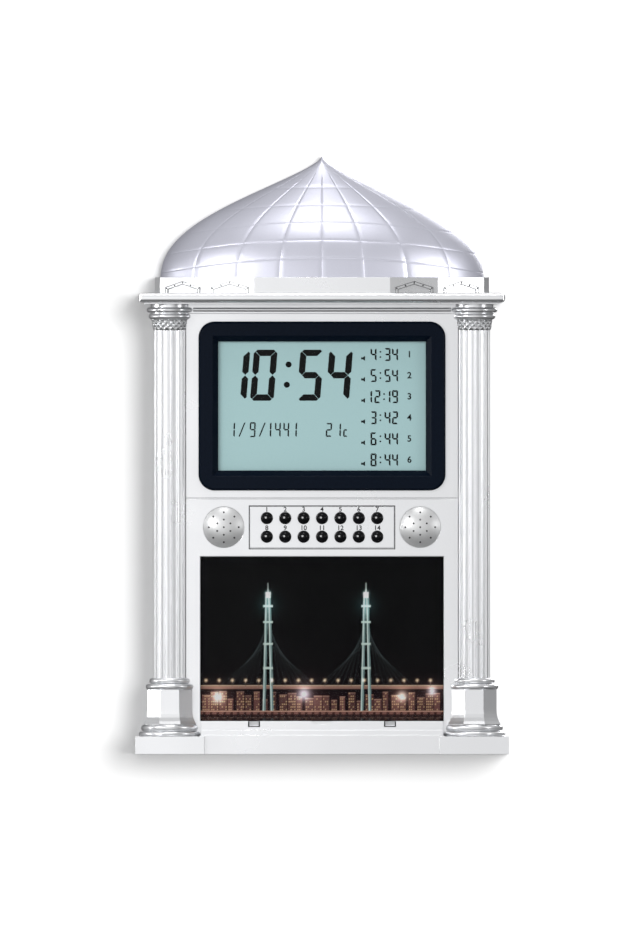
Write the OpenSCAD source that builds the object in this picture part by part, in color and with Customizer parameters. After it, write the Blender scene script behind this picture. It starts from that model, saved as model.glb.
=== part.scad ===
// Azan clock in the form of a domed gateway, for a table or a wall. Lengths are in millimetres.
// It stands on z = 0 and faces -Y, and x = 0 is its middle plane. Depths inside the case are
// given from the face, the flat panel between the two columns.

/* [Base] */
// Height of the two plinth blocks
plinth_h = 8.9; // [8:0.1:10.5]
// How far a plinth block reaches past its column foot, to the sides
plinth_lip = 1.8; // [1:0.1:3]
// How far a plinth block reaches past its column foot, to the front
plinth_front_lip = 0.5; // [0.3:0.1:1.5]
// Height of the bottom rail between the plinth blocks
rail_h = 9.6; // [9:0.1:11]
// Height of the step above the rail
step_h = 2.5; // [1.5:0.1:4]
// Height of the sill under the picture
sill_h = 4.5; // [4:0.1:6]
// How far the rail stands proud of the face
rail_proud = 12; // [9:0.5:13]
// How far the step stands proud of the face
step_proud = 7; // [5:0.5:8]
// How far the sill stands proud of the face
sill_proud = 2; // [1.5:0.1:3]

/* [Columns] */
// Radius of a column shaft
shaft_r = 8; // [7.4:0.1:8.6]
// Number of flutes round a shaft
flutes = 16; // [12:2:20]
// Radius of one flute
flute_r = 1.1; // [0.8:0.05:1.2]
// Gap between a shaft and the side of the face
column_gap = 0.1; // [0.05:0.05:0.3]
// How far a column's axis lies behind the face
column_inset = 2; // [1:0.1:3]
// Distance from a column's axis back to the shoulder that it is fixed to
column_flat = 5; // [4.5:0.1:6]
// Radius of the lowest ring of a pedestal
foot_r = 15.5; // [15:0.1:17]
// Height of the lowest ring
foot_h = 2.45; // [2:0.05:3]
// Radius of the ring above it
base_ring_r = 14.3; // [13.6:0.1:14.8]
// Height of the ring above it
base_ring_h = 3.5; // [3:0.1:4]
// Height over which the pedestal flares out
flare_h = 7; // [5:0.5:9]
// Half-width of the flare at its foot
flare_r = 13.3; // [12.6:0.1:13.5]
// Height of the straight part of the pedestal
die_h = 10.5; // [8:0.5:14]
// Half-width of the straight part
die_r = 11.2; // [10.6:0.1:11.8]
// Radius of the ring on top of the pedestal
top_ring_r = 12; // [11.5:0.1:12.5]
// Height of the ring on top of the pedestal
top_ring_h = 2.8; // [2.2:0.1:3.4]
// Radius of the ring under the shaft
shaft_ring_r = 10.2; // [9.6:0.1:10.8]
// Height of the ring under the shaft
shaft_ring_h = 2.95; // [2.3:0.05:3.5]

/* [Capitals] */
// Diamonds round the lattice bell
diamonds = 18; // [14:2:24]
// How far the lattice's ridges stand out
lattice_relief = 0.9; // [0.5:0.05:1]
// How far the lattice's hollows lie inside the shaft at the bell's foot
lattice_inset = 0.5; // [0.4:0.05:0.6]
// Height of the bell up to the lower ring
bell_h = 5.3; // [5:0.1:6.5]
// Radius at the top of the bell
bell_r = 9.2; // [9:0.1:9.6]
// Radius of the lower ring
low_ring_r = 10.55; // [10:0.05:11]
// Height of the lower ring
low_ring_h = 2.9; // [2.4:0.1:3.4]
// Radius of the upper ring
high_ring_r = 11.5; // [11:0.1:12]
// Height of the upper ring
high_ring_h = 2.5; // [2:0.1:3]
// Radius of the neck between the rings
neck_r = 9.6; // [9:0.1:10]
// Height of the neck between the rings
neck_h = 0.5; // [0.3:0.1:0.8]

/* [Cornice] */
// Height of the frieze behind the capitals
frieze_h = 4.8; // [4.5:0.1:5.5]
// Height of the overhanging cornice
cornice_h = 5.5; // [5:0.1:7]
// How far the cornice reaches past a column's axis
cornice_reach = 15.5; // [14:0.1:16]
// Radius of the cornice's rounded edges
nose_r = 1.9; // [1.2:0.1:2]
// Height of the lip under the cornice's round nose
lip_h = 0.7; // [0.4:0.1:0.9]
// How far the lip is set back
lip_step = 2.6; // [2:0.1:3.5]
// Radius of the bead along the frieze
bead_r = 1; // [0.6:0.05:1.2]
// Radius of the cornice's corners, seen from above
cornice_corner_r = 1.6; // [1:0.1:3]

/* [Drum and dome] */
// Height of the faceted drum
drum_h = 7.8; // [6.5:0.1:9]
// How far the drum reaches past a column's axis
drum_reach = 7.4; // [6:0.1:9]
// How far the drum's front is set back from the cornice's front
drum_setback = 2; // [1.5:0.1:4]
// Half-width of the drum's front facet
drum_front_half = 34; // [30:0.5:38]
// Half-width out to the second corner of the drum
drum_corner_half = 58; // [54:0.5:62]
// How far the first slanted facet falls back
drum_fall = 7; // [5:0.5:9]
// How far the second slanted facet falls back
drum_side_fall = 12.5; // [10:0.5:15]
// Width and depth that the last corner of the drum cuts off
drum_return = 2.5; // [1.5:0.1:4]
// Height of a gable frame's shoulders
gable_shoulder = 2.75; // [2:0.05:3.5]
// Height of a gable frame's peak
gable_peak = 5.75; // [5:0.05:6.5]
// Distance of the dome's foot behind the drum's front
dome_setback = 1.5; // [1:0.1:3]
// Ledge round the dome on top of the drum
drum_ledge = 2.7; // [1.5:0.1:4]
// Height of the dome from the drum to the tip
dome_h = 60.5; // [52:0.5:70]
// Width of the dome's panels at its foot
panel_w = 21.4; // [19:0.1:24]
// Height of the lowest course of panels at the middle
first_course = 9.8; // [8:0.1:12]
// Height of the other courses at the middle
course_h = 8.8; // [7.5:0.1:9.5]
// How far the joints between courses sink towards the sides, in mm for each square mm
course_drop = 0.0012; // [0.0008:0.0001:0.0014]
// Wall of the dome
dome_wall = 2.2; // [1.8:0.1:3]
// Depth of the dome's tip
tip_d = 3; // [2.5:0.1:5]
// Depth of the joint lines between the dome's panels
joint_depth = 0.45; // [0.3:0.05:0.7]
// Width of the joint lines
joint_w = 0.7; // [0.5:0.05:1]
// Width of a gable frame on the drum
gable_w = 19.5; // [17:0.5:21]
// Width of a gable frame's band
gable_band = 1.3; // [1:0.1:1.6]
// How far a gable frame stands out
gable_relief = 0.5; // [0.3:0.1:0.8]

/* [Case] */
// Wall of the front housing
wall = 2.2; // [2:0.1:2.8]
// Face left beside the display
face_margin = 6.25; // [5.5:0.25:9]
// How far the case reaches past a column's axis
side_reach = 3.9; // [3.5:0.1:6]
// Thickness of the rear cover
cover_t = 2.5; // [2.2:0.1:3.2]
// How far the rear cover's edge is inside the front's outline
cover_inset = 1.5; // [1:0.1:2.5]
// Radius of a housing screw's shank
screw_r = 1.25; // [1:0.05:1.5]
// Depth of the split line across the face
split_depth = 0.6; // [0.4:0.1:1]
// Width of the split line
split_w = 0.6; // [0.4:0.1:1]

/* [Display] */
// Band of the black display frame beside the display
band_side = 7; // [6:0.25:9]
// Band of the black display frame above and below the display
band_top = 7.15; // [6:0.05:9]
// Corner radius of the display frame
bezel_r = 8; // [6:0.5:11]
// How far the display frame stands proud of the face
bezel_proud = 2.5; // [1.5:0.1:4]
// Width of the visible display
view_w = 103.8; // [100:0.2:105]
// Height of the visible display
view_h = 64.5; // [61:0.5:66]
// Width of the slope from the frame down to the display
bevel_w = 2.85; // [1.5:0.05:4]
// Face above the display frame, and between the frame and the split line
bezel_gap = 4; // [3:0.1:6]
// Thickness of the clear lens
lens_t = 1.5; // [1:0.1:2]
// Thickness of the liquid crystal panel
glass_t = 2.2; // [1.8:0.1:2.8]
// How far the panel reaches past the visible display
glass_edge = 4.1; // [3.5:0.1:5]
// Thickness of the reflector behind the panel
reflector_t = 0.8; // [0.5:0.1:1.2]
// Thickness of the holder's floor
holder_floor = 1.4; // [1:0.1:2]
// Thickness of both circuit boards
board_t = 1.6; // [1.2:0.1:2]
// Room for components on the back of the boards
component_h = 3; // [2.5:0.1:5]

/* [Controls] */
// Width of the line frame round the buttons
frame_w = 72.8; // [70:0.2:73]
// Height of the line frame round the buttons
frame_h = 21.5; // [20:0.5:24]
// Width of the line
frame_line = 0.45; // [0.3:0.05:0.8]
// Face between the picture and the line frame
frame_gap = 3.8; // [3.5:0.1:6]
// Face between the line frame and the split line
split_gap = 3.6; // [3:0.1:5]
// Radius of a button
button_r = 2.9; // [2.6:0.05:3.1]
// Height of a button's dome
button_dome_h = 2.1; // [1.8:0.1:2.6]
// Distance between buttons in a row
button_pitch = 9.2; // [8.8:0.1:9.6]
// Distance between the two rows
row_pitch = 9.3; // [8.8:0.1:10]
// Height of the upper row above the middle of the line frame
row_offset = 4.55; // [4:0.05:5]
// Travel of a button
button_travel = 0.8; // [0.5:0.05:0.9]
// Running clearance of a button in the face
button_clearance = 0.1; // [0.05:0.01:0.1]
// Distance from the side of the face to the centre of a speaker cap
speaker_edge = 18.9; // [17.5:0.1:19]
// Radius of a speaker cap
cap_r = 10.2; // [9.4:0.1:10.6]
// Height of a speaker cap's dome
cap_h = 3.8; // [3:0.1:5]
// Wall of a speaker cap
cap_wall = 1.2; // [1:0.1:1.6]
// Radius of a sound hole
sound_hole_r = 0.45; // [0.3:0.05:0.6]
// Radius of a speaker's basket
speaker_r = 12.4; // [12:0.1:12.6]
// Depth of a speaker
speaker_d = 9; // [7:0.5:11]

/* [Picture] */
// Width of the picture window
picture_w = 122; // [116:0.5:125]
// Height of the picture window
picture_h = 82.4; // [76:0.2:90]
// Thickness of the clear picture cover
cover_sheet_t = 1.2; // [1:0.1:1.4]
// Thickness of the printed card
card_t = 0.4; // [0.3:0.05:0.8]
// Clearance round the picture cover
picture_clearance = 0.2; // [0.15:0.05:0.4]
// Distance from the middle to a snap hook
hook_x = 34; // [25:0.5:45]
// Width of a snap hook
hook_w = 4.7; // [3.5:0.1:6]
// Length of a snap hook below the cover
hook_l = 2.2; // [1.8:0.1:2.6]
// Width of the thumb notch in the sill
notch_w = 10.7; // [8:0.1:14]
// Depth of the thumb notch, downwards
notch_h = 1.7; // [1.2:0.1:2.4]

/* [Battery bay] */
// Number of AA cells side by side
cells = 3; // [3:1:4]
// Room for one cell across the bay
cell_pitch = 15.2; // [14.9:0.1:16]
// Inner length of the bay
bay_l = 58; // [56:0.5:62]
// Inner depth of the bay
bay_d = 16; // [15.5:0.1:18]
// Wall of the bay
bay_wall = 1.5; // [1.3:0.1:2]
// Rebate round the bay for its door
door_rebate = 3; // [2.5:0.1:4]
// Thickness of the door
door_t = 1.75; // [1.4:0.05:1.8]
// Clearance round the door
door_clearance = 0.25; // [0.15:0.05:0.5]

/* [Stand] */
// Width of the folding leg
leg_w = 40; // [30:1:48]
// Height of the folded leg's tip
leg_tip_z = 14; // [13.5:0.5:24]
// Thickness of the leg
leg_t = 3.4; // [3:0.1:3.6]
// Height of the leg's pin
leg_pin_z = 122; // [118:1:126]
// Radius of the leg's pin
leg_pin_r = 1.5; // [1.2:0.05:1.8]
// Running clearance of the leg on its pin
leg_pin_clearance = 0.06; // [0.03:0.01:0.1]

/* [Sockets] */
// Height of the power socket on the right side
jack_z = 45; // [38:1:70]
// Radius of the power socket's hole
jack_r = 2.9; // [2.8:0.05:3.2]
// Height of the keyhole for hanging
keyhole_z = 250; // [246:1:256]
// Radius of the keyhole's wide end
keyhole_r = 4; // [3.5:0.1:5]
// Half-width of the keyhole's slot
slot_r = 1.9; // [1.5:0.1:2.2]

/* [Hidden] */
$fn = 48;

// Cuts run past the faces they open by this much, and fused pieces share this much
over = 1;
weld = 0.2;

// The display frame round the view
bezel_w = view_w + 2 * (bevel_w + band_side);
bezel_h = view_h + 2 * (bevel_w + band_top);

// Heights, from the floor up
sill_top_z = rail_h + step_h + sill_h;
picture_top_z = sill_top_z + picture_h;
frame_z = picture_top_z + frame_gap + frame_h / 2;
split_z = picture_top_z + frame_gap + frame_h + split_gap;
bezel_z = split_z + bezel_gap + bezel_h / 2;
body_top_z = split_z + bezel_h + 2 * bezel_gap;
cornice_z = body_top_z + frieze_h;
drum_z = cornice_z + cornice_h;
dome_z = drum_z + drum_h;

// Depths, measured inwards from the face
lip_t = 0.5;
panel_d = lip_t + lens_t;
reflector_d = panel_d + glass_t;
board_d = reflector_d + reflector_t + holder_floor;
board_back_d = board_d + board_t;
bay_gap = 0.9;
bay_floor_d = board_back_d + component_h + bay_gap + bay_wall;
seam_d = bay_floor_d + bay_d;
front_proud = foot_r + plinth_front_lip - column_inset;
clock_d = front_proud + seam_d + cover_t;

// Planes across the depth, in the clock's own frame
y_front = -clock_d / 2;
y_back = clock_d / 2;
y_face = y_front + front_proud;
y_column = y_face + column_inset;
y_shoulder = y_column + column_flat;
y_seam = y_back - cover_t;

// Widths
face_half = max(bezel_w, picture_w) / 2 + face_margin;
column_x = face_half + column_gap + shaft_r;
body_half = column_x + side_reach;
cornice_half = column_x + cornice_reach;
drum_half = column_x + drum_reach;
dome_half = drum_half - drum_ledge;
plinth_half = foot_r + plinth_lip;
speaker_x = face_half - speaker_edge;
leg_l = leg_pin_z - leg_tip_z;

// Extrudes a shape drawn in x and z across the depth, from depth a to depth b behind the face
module slab(a, b) {
    translate([0, y_face + b, 0]) rotate([90, 0, 0]) linear_extrude(b - a) children();
}

// A drawn rectangle about its middle, given by its middle height
module plate(w, h, z, x = 0) {
    translate([x, z]) square([w, h], center = true);
}

// A drawn rectangle with round corners
module round_plate(w, h, z, r) {
    translate([0, z]) {
        square([w - 2 * r, h], center = true);
        square([w, h - 2 * r], center = true);
        for (sx = [-1, 1], sz = [-1, 1])
            translate([sx * (w / 2 - r), sz * (h / 2 - r)]) circle(r);
    }
}

// A round bar or bore along the depth, from depth a to depth b behind the face
module across(r, a, b, x, z) {
    translate([x, y_face + a, z]) rotate([-90, 0, 0]) cylinder(r = r, h = b - a);
}

// A disc with a half-round edge, standing on z = 0
module ring(r, h) {
    rotate_extrude() {
        square([r - h / 2, h]);
        translate([r - h / 2, h / 2]) intersection() {
            circle(h / 2);
            translate([-weld, -h]) square([h, 2 * h]);
        }
    }
}

// The case seen from above: a face between two shoulders that carry the columns.
// grow moves every side out, and the back runs past the seam by back
function body_plan(grow = 0, back = 0) =
    let (f = face_half + grow, b = body_half + grow, ys = y_shoulder - grow)
    [[-b, y_seam + back], [-b, ys], [-f, ys], [-f, y_face - grow],
     [f, y_face - grow], [f, ys], [b, ys], [b, y_seam + back]];

// Places something drawn about a column's axis on both sides or on one, -1 left and 1 right
module on_column(side, z) {
    translate([side * column_x, y_column, z]) children();
}

// What a piece round a column loses to the case behind it
module behind_columns(z, h) {
    translate([0, 0, z - over]) linear_extrude(h + 2 * over) polygon(body_plan(column_gap, over));
}

// ---- Base ----------------------------------------------------------------------------

// A block across the base whose front stands proud of the face
module base_block(half, proud, z, h) {
    translate([-half, y_face - proud, z]) cube([2 * half, seam_d + proud, h]);
}

// The snap hooks' pockets and the thumb notch in the sill
notch_r = (notch_w * notch_w / 4 + notch_h * notch_h) / (2 * notch_h);
module sill_cuts() {
    for (x = [-hook_x, hook_x])
        slab(-sill_proud - over, 2 * cover_sheet_t)
            plate(hook_w + 3 * picture_clearance, 2 * (hook_l + picture_clearance), sill_top_z, x);
    across(notch_r, -sill_proud - over, sill_proud, 0, sill_top_z - notch_h + notch_r);
}

// Rails, step, sill and plinth blocks in one moulding that closes the case below
module plinth_base() {
    rail_end = column_x - plinth_half;
    step_end = column_x - foot_r - column_gap;
    color("gainsboro") difference() {
        union() {
            base_block(rail_end + weld, rail_proud, 0, rail_h);
            base_block(step_end, step_proud, 0, rail_h + step_h);
            base_block(step_end, sill_proud, 0, sill_top_z);
            linear_extrude(sill_top_z) polygon(body_plan());
            for (s = [-1, 1])
                translate([s * column_x - plinth_half, y_front, 0])
                    cube([2 * plinth_half, clock_d - cover_t, plinth_h]);
        }
        base_hollow(rail_end - wall, rail_proud - wall, wall, plinth_h - 2 * wall);
        base_hollow(face_half - wall, -2 * wall, wall, sill_top_z);
        sill_cuts();
    }
}

// A hollow in the base that is open to the back
module base_hollow(half, proud, z, h) {
    translate([-half, y_face - proud, z]) cube([2 * half, seam_d + proud + over, h]);
}

// ---- Columns -------------------------------------------------------------------------

flare_z = foot_h + base_ring_h;
die_z = flare_z + flare_h;
top_ring_z = die_z + die_h;
shaft_ring_z = top_ring_z + top_ring_h;
pedestal_h = shaft_ring_z + shaft_ring_h;
shaft_z = plinth_h + pedestal_h;
capital_z = body_top_z - bell_h - low_ring_h;
flare_steps = 4;

// An eight-sided prism or frustum with a flat side to the front
module octagon(r_low, r_high, h) {
    k = 1 / cos(22.5);
    rotate(22.5) cylinder(r1 = r_low * k, r2 = r_high * k, h = h, $fn = 8);
}

// Half-width of the flare at the fraction t of its height, curved inwards as it rises
function flare_half(t) = die_r + (flare_r - die_r) * pow(1 - t, 2);

// Rings, octagonal flare and die under a column
module pedestal(side) {
    color("silver") difference() {
        on_column(side, plinth_h) {
            ring(foot_r, foot_h);
            translate([0, 0, foot_h]) ring(base_ring_r, base_ring_h);
            for (i = [0 : flare_steps - 1])
                translate([0, 0, flare_z + flare_h * i / flare_steps])
                    octagon(flare_half(i / flare_steps), flare_half((i + 1) / flare_steps),
                        flare_h / flare_steps);
            translate([0, 0, die_z]) octagon(die_r, die_r, die_h);
            translate([0, 0, top_ring_z]) ring(top_ring_r, top_ring_h);
            translate([0, 0, shaft_ring_z]) ring(shaft_ring_r, shaft_ring_h);
        }
        behind_columns(plinth_h, pedestal_h);
    }
}

// A fluted shaft, flat at the back where it lies on the case
module column(side) {
    color("gainsboro") difference() {
        on_column(side, shaft_z) linear_extrude(capital_z - shaft_z) difference() {
            circle(shaft_r);
            for (i = [0 : flutes - 1])
                rotate(i * 360 / flutes - 90) translate([shaft_r + flute_r * 0.2, 0])
                    circle(flute_r, $fn = 16);
        }
        behind_columns(shaft_z, capital_z - shaft_z);
    }
}

// A bell of diamonds round a column: raised where the corners meet and sunk between them.
// Points go round in half-diamond steps, and every second one stands out
module lattice(r_low, r_high, h) {
    rows = 4;
    n = 2 * diamonds;
    grid = [for (j = [0 : rows], i = [0 : n - 1])
        let (r = r_low + (r_high - r_low) * j / rows + ((i + j) % 2 == 0 ? lattice_relief : 0),
             a = i * 360 / n - 90)
        [r * cos(a), r * sin(a), h * j / rows]];
    side = [for (j = [0 : rows - 1], i = [0 : n - 1])
        let (a = j * n + i, b = j * n + (i + 1) % n, c = b + n, d = a + n)
        each (i + j) % 2 == 0 ? [[a, c, b], [a, d, c]] : [[a, d, b], [b, d, c]]];
    bottom = [for (i = [0 : n - 1]) i];
    top = [for (i = [n - 1 : -1 : 0]) rows * n + i];
    polyhedron(grid, concat(side, [bottom, top]));
}

// Lattice, bell and rings on top of a column, up to the cornice
module capital(side) {
    color("silver") difference() {
        on_column(side, capital_z) {
            lattice(shaft_r - lattice_inset, bell_r - lattice_relief, bell_h + weld);
            translate([0, 0, bell_h]) ring(low_ring_r, low_ring_h);
            translate([0, 0, bell_h]) cylinder(r = neck_r, h = low_ring_h + frieze_h);
            translate([0, 0, bell_h + low_ring_h + neck_h]) ring(high_ring_r, high_ring_h);
        }
        behind_columns(capital_z, bell_h + low_ring_h + frieze_h);
    }
}

// ---- Cornice, drum and dome ----------------------------------------------------------

cornice_d = column_inset - cornice_reach;
y_cornice = y_face + cornice_d;

// The cornice's section, with its front edge at x = 0 and its body towards +X: a round nose
// over a lip that is set back
module cornice_section(depth) {
    translate([lip_step, 0]) square([depth - lip_step, lip_h + weld]);
    translate([nose_r, lip_h]) square([depth - nose_r, cornice_h - lip_h]);
    translate([0, lip_h + nose_r]) square([depth, cornice_h - lip_h - 2 * nose_r]);
    for (z = [lip_h + nose_r, cornice_h - nose_r]) translate([nose_r, z]) circle(nose_r);
}

// The overhanging slab: the same section along the front and, mitred, along both sides
module cornice_slab() {
    intersection() {
        translate([-cornice_half - over, y_cornice, cornice_z]) rotate([90, 0, 90])
            linear_extrude(2 * (cornice_half + over)) cornice_section(seam_d - cornice_d);
        slab(cornice_d - over, seam_d) for (s = [0, 1]) mirror([s, 0])
            translate([-cornice_half, cornice_z]) cornice_section(cornice_half + weld);
        translate([0, 0, cornice_z]) linear_extrude(cornice_h) {
            translate([-cornice_half, y_cornice + cornice_corner_r])
                square([2 * cornice_half, clock_d]);
            translate([-cornice_half + cornice_corner_r, y_cornice])
                square([2 * (cornice_half - cornice_corner_r), clock_d]);
            for (s = [-1, 1])
                translate([s * (cornice_half - cornice_corner_r), y_cornice + cornice_corner_r])
                    circle(cornice_corner_r);
        }
    }
}

// Overhanging slab with the frieze and its bead below, hollow over the case
module cornice() {
    bead_half = column_x - high_ring_r - 2 * column_gap;
    color("gainsboro") difference() {
        union() {
            cornice_slab();
            translate([0, 0, body_top_z]) linear_extrude(frieze_h + weld) polygon(body_plan());
            translate([-bead_half, y_face - bead_r + weld, body_top_z + frieze_h / 2 - bead_r / 2])
                rotate([0, 90, 0]) cylinder(r = bead_r, h = 2 * bead_half);
        }
        translate([0, 0, body_top_z - over]) linear_extrude(drum_z - body_top_z - wall + over)
            polygon(body_plan(-wall, over));
    }
}

drum_d = cornice_d + drum_setback;
y_drum = y_face + drum_d;

// Half of the drum's corners, from the middle out to the right, moved in by inset
function drum_corners(inset = 0) =
    let (a = drum_half - drum_return, y1 = y_drum + inset, y2 = y1 + drum_fall,
         y3 = y2 + drum_side_fall)
    [[drum_front_half - inset / 2, y1], [drum_corner_half - inset, y2], [a - inset, y3],
     [drum_half - inset, y3 + 2 * drum_return]];

// The whole drum from above, running past the seam by back
function drum_plan(inset = 0, back = 0) =
    let (c = drum_corners(inset), n = len(c) - 1)
    concat([[drum_half - inset, y_seam + back], [-drum_half + inset, y_seam + back]],
        [for (i = [n : -1 : 0]) [-c[i][0], c[i][1]]], c);

// Half of a gable: a house outline with its band's outer edge, or its inner edge if cut
module gable_outline(cut) {
    slope = (gable_peak - gable_shoulder) / (gable_w / 2);
    drop = cut ? gable_band * sqrt(1 + slope * slope) : 0;
    half = gable_w / 2 - (cut ? gable_band : 0);
    low = cut ? -over : 0;
    eaves = gable_peak - slope * half - drop;
    polygon([[-half, low], [half, low], [half, eaves], [0, gable_peak - drop], [-half, eaves]]);
}

// Places something drawn on an upright plane onto the facet between two corners
module on_facet(p, q) {
    translate([(p[0] + q[0]) / 2, (p[1] + q[1]) / 2, drum_z])
        rotate([0, 0, atan2(q[1] - p[1], q[0] - p[0])]) rotate([90, 0, 0]) children();
}

// A gable frame, a raised band with five dots sunk into it
module gable() {
    slope = (gable_peak - gable_shoulder) / (gable_w / 2);
    difference() {
        translate([0, 0, -weld]) linear_extrude(gable_relief + weld) difference() {
            gable_outline(false);
            gable_outline(true);
        }
        for (i = [-2 : 2])
            let (x = i * (gable_w / 4 - gable_band / 4))
            translate([x, gable_peak - abs(x) * slope - gable_band * 0.52, gable_relief * 0.4])
                cylinder(r = gable_band / 4, h = over);
    }
}

// Faceted drum under the dome, with two gables on each side, hollow from below
module drum() {
    c = drum_corners();
    color("gainsboro") {
        difference() {
            translate([0, 0, drum_z]) linear_extrude(drum_h) polygon(drum_plan());
            translate([0, 0, drum_z - over]) linear_extrude(drum_h - wall + over)
                polygon(drum_plan(wall, over));
        }
        for (i = [0, 1]) {
            on_facet(c[i], c[i + 1]) gable();
            mirror([1, 0, 0]) on_facet(c[i], c[i + 1]) gable();
        }
    }
}

dome_d = seam_d - drum_d - dome_setback;
tip_cut = 4.3;
tip_h = dome_h - tip_cut;
courses = floor((dome_h - first_course) / course_h);
joints = floor(0.9 * dome_half / panel_w);

// Half-width of the dome at height h over its foot: a full shoulder, then a drawn-out tip
function dome_half_at(h) =
    let (t = min(1, max(0, h / dome_h)))
    dome_half * (0.94 * pow(1 - pow(t, 2.4), 1.55) + 0.06 * (1 - t));

// Depth of the dome where its half-width is w
function dome_depth_at(w) = tip_d + (dome_d - tip_d) * w / dome_half;

// How strongly a course sinks at height h: not at the foot, fully above the first course,
// and not at the tip
function drop_share(h) = min(1, h / first_course) * min(1, (tip_h - h) / course_h);

// x on the dome's skin at share f of its half-width and middle height h, sunk courses
// included, where n more turns bring x and height into agreement
function skin_x(f, h, inset, n, x = 0) =
    let (w = f * (dome_half_at(h - course_drop * drop_share(h) * x * x) - inset))
    n == 0 ? w : skin_x(f, h, inset, n - 1, w);

// A point on the dome's skin, moved in by inset
function skin(f, h, inset) =
    let (x = skin_x(f, h, inset, 5), z = h - course_drop * drop_share(h) * x * x,
         w = dome_half_at(z))
    [x, y_seam - (dome_depth_at(w) - inset) * sqrt(max(0, 1 - f * f)), dome_z + z];

// Shares of the half-width where the skin has points, each with 1 on a joint, else 0
side_steps = 5;
joint_shares = [for (i = [-joints : joints]) i * panel_w / dome_half];
joint_half = joint_w / 2 / dome_half;
edge_angle = asin(joint_shares[len(joint_shares) - 1] + joint_half);
across_shares = concat(
    [for (i = [0 : side_steps - 1]) [-sin(90 - (90 - edge_angle) * i / side_steps), 0]],
    [for (i = [0 : 2 * joints]) let (s = joint_shares[i]) each concat(
        [[s - joint_half, 0], [s, 1], [s + joint_half, 0]],
        i == 2 * joints ? [] : [for (k = [1, 2]) [s + k / 3 * panel_w / dome_half, 0]])],
    [for (i = [side_steps - 1 : -1 : 0]) [sin(90 - (90 - edge_angle) * i / side_steps), 0]]);

// Middle heights where the skin has points, each with 1 on a joint, else 0
joint_heights = [for (i = [0 : courses - 1]) first_course + i * course_h];
tip_steps = 5;
last_joint = joint_heights[courses - 1] + joint_w / 2;
up_heights = concat(
    [for (i = [0 : 3]) [first_course * i / 4, 0]],
    [for (i = [0 : courses - 1]) let (h = joint_heights[i]) each concat(
        [[h - joint_w / 2, 0], [h, 1], [h + joint_w / 2, 0]],
        i == courses - 1 ? [] : [for (k = [1, 2]) [h + k / 3 * course_h, 0]])],
    [for (i = [1 : tip_steps]) [last_joint + (tip_h - last_joint) * i / tip_steps, 0]]);

// The dome's hollow has plain points: every 15 degrees across and in even steps up
hollow_h = dome_h * 0.86;
hollow_rows = 10;
hollow_cols = 12;

// A point on the hollow, at share f of its half-width and height h
function hollow(f, h) =
    let (w = dome_half_at(h))
    [f * (w - dome_wall), y_seam - (dome_depth_at(w) - dome_wall) * sqrt(max(0, 1 - f * f)),
     dome_z + h];

// Triangles between the rows of a grid with n points a row, starting at point from
function grid_faces(rows, n, from, flip) =
    [for (j = [0 : rows - 2], i = [0 : n - 2])
        let (a = from + j * n + i, b = a + 1, c = b + n, d = a + n)
        each flip ? [[a, c, b], [a, d, c]] : [[a, b, c], [a, c, d]]];

// Panelled onion dome, half of it, as a shell that is open below and behind
module dome() {
    nr = len(up_heights);
    nc = len(across_shares);
    skin_points = [for (u = up_heights, a = across_shares)
        skin(a[0], u[0], max(u[1], a[1]) * joint_depth)];
    inner_points = [for (j = [0 : hollow_rows], i = [0 : hollow_cols])
        hollow(sin(-90 + i * 180 / hollow_cols), hollow_h * j / hollow_rows)];
    tip_point = [0, y_seam, dome_z + dome_h];
    m = nr * nc;
    ni = hollow_cols + 1;
    top = (nr - 1) * nc;
    inner_top = m + hollow_rows * ni;
    tip = inner_top + ni;
    // The hollow's row and column next to each row and column of the skin
    edge_h = [for (j = [0 : nr - 1]) skin_points[j * nc][2] - dome_z];
    row = [for (h = edge_h) min(hollow_rows, round(h / hollow_h * hollow_rows))];
    col = [for (a = across_shares) round((asin(a[0]) + 90) * hollow_cols / 180)];
    jt = len([for (h = edge_h) if (h < hollow_h) h]);
    foot_rim = rim_faces([for (i = [0 : nc - 1]) i], [for (c = col) m + c], nc);
    right_rim = rim_faces([for (j = [0 : nr - 1]) j * nc + nc - 1],
        [for (r = row) m + r * ni + ni - 1], jt + 1);
    left_rim = rim_faces([for (j = [0 : nr - 1]) j * nc], [for (r = row) m + r * ni], jt + 1);
    over_hollow = [[inner_top, inner_top + ni - 1, jt * nc + nc - 1],
        [inner_top, jt * nc + nc - 1, jt * nc]];
    back = [for (j = [jt : nr - 2]) let (a = j * nc, b = a + nc - 1)
        each [[a, b, b + nc], [a, b + nc, a + nc]]];
    cap = concat([for (i = [0 : nc - 2]) [top + i, tip, top + i + 1]], [[top, top + nc - 1, tip]]);
    inner_cap = [for (i = [1 : ni - 2]) [inner_top, inner_top + i, inner_top + i + 1]];
    color("silver") polyhedron(concat(skin_points, inner_points, [tip_point]), concat(
        grid_faces(nr, nc, 0, true), grid_faces(hollow_rows + 1, ni, m, false), foot_rim,
        right_rim, [for (f = left_rim) [f[0], f[2], f[1]]], over_hollow, back, cap, inner_cap));
}

// Triangles of a rim between the first n points of a and the points of b next to them
function rim_faces(a, b, n) = [for (i = [0 : n - 2]) each concat([[a[i], a[i + 1], b[i]]],
    b[i] == b[i + 1] ? [] : [[a[i + 1], b[i + 1], b[i]]])];

// ---- Case ----------------------------------------------------------------------------

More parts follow.
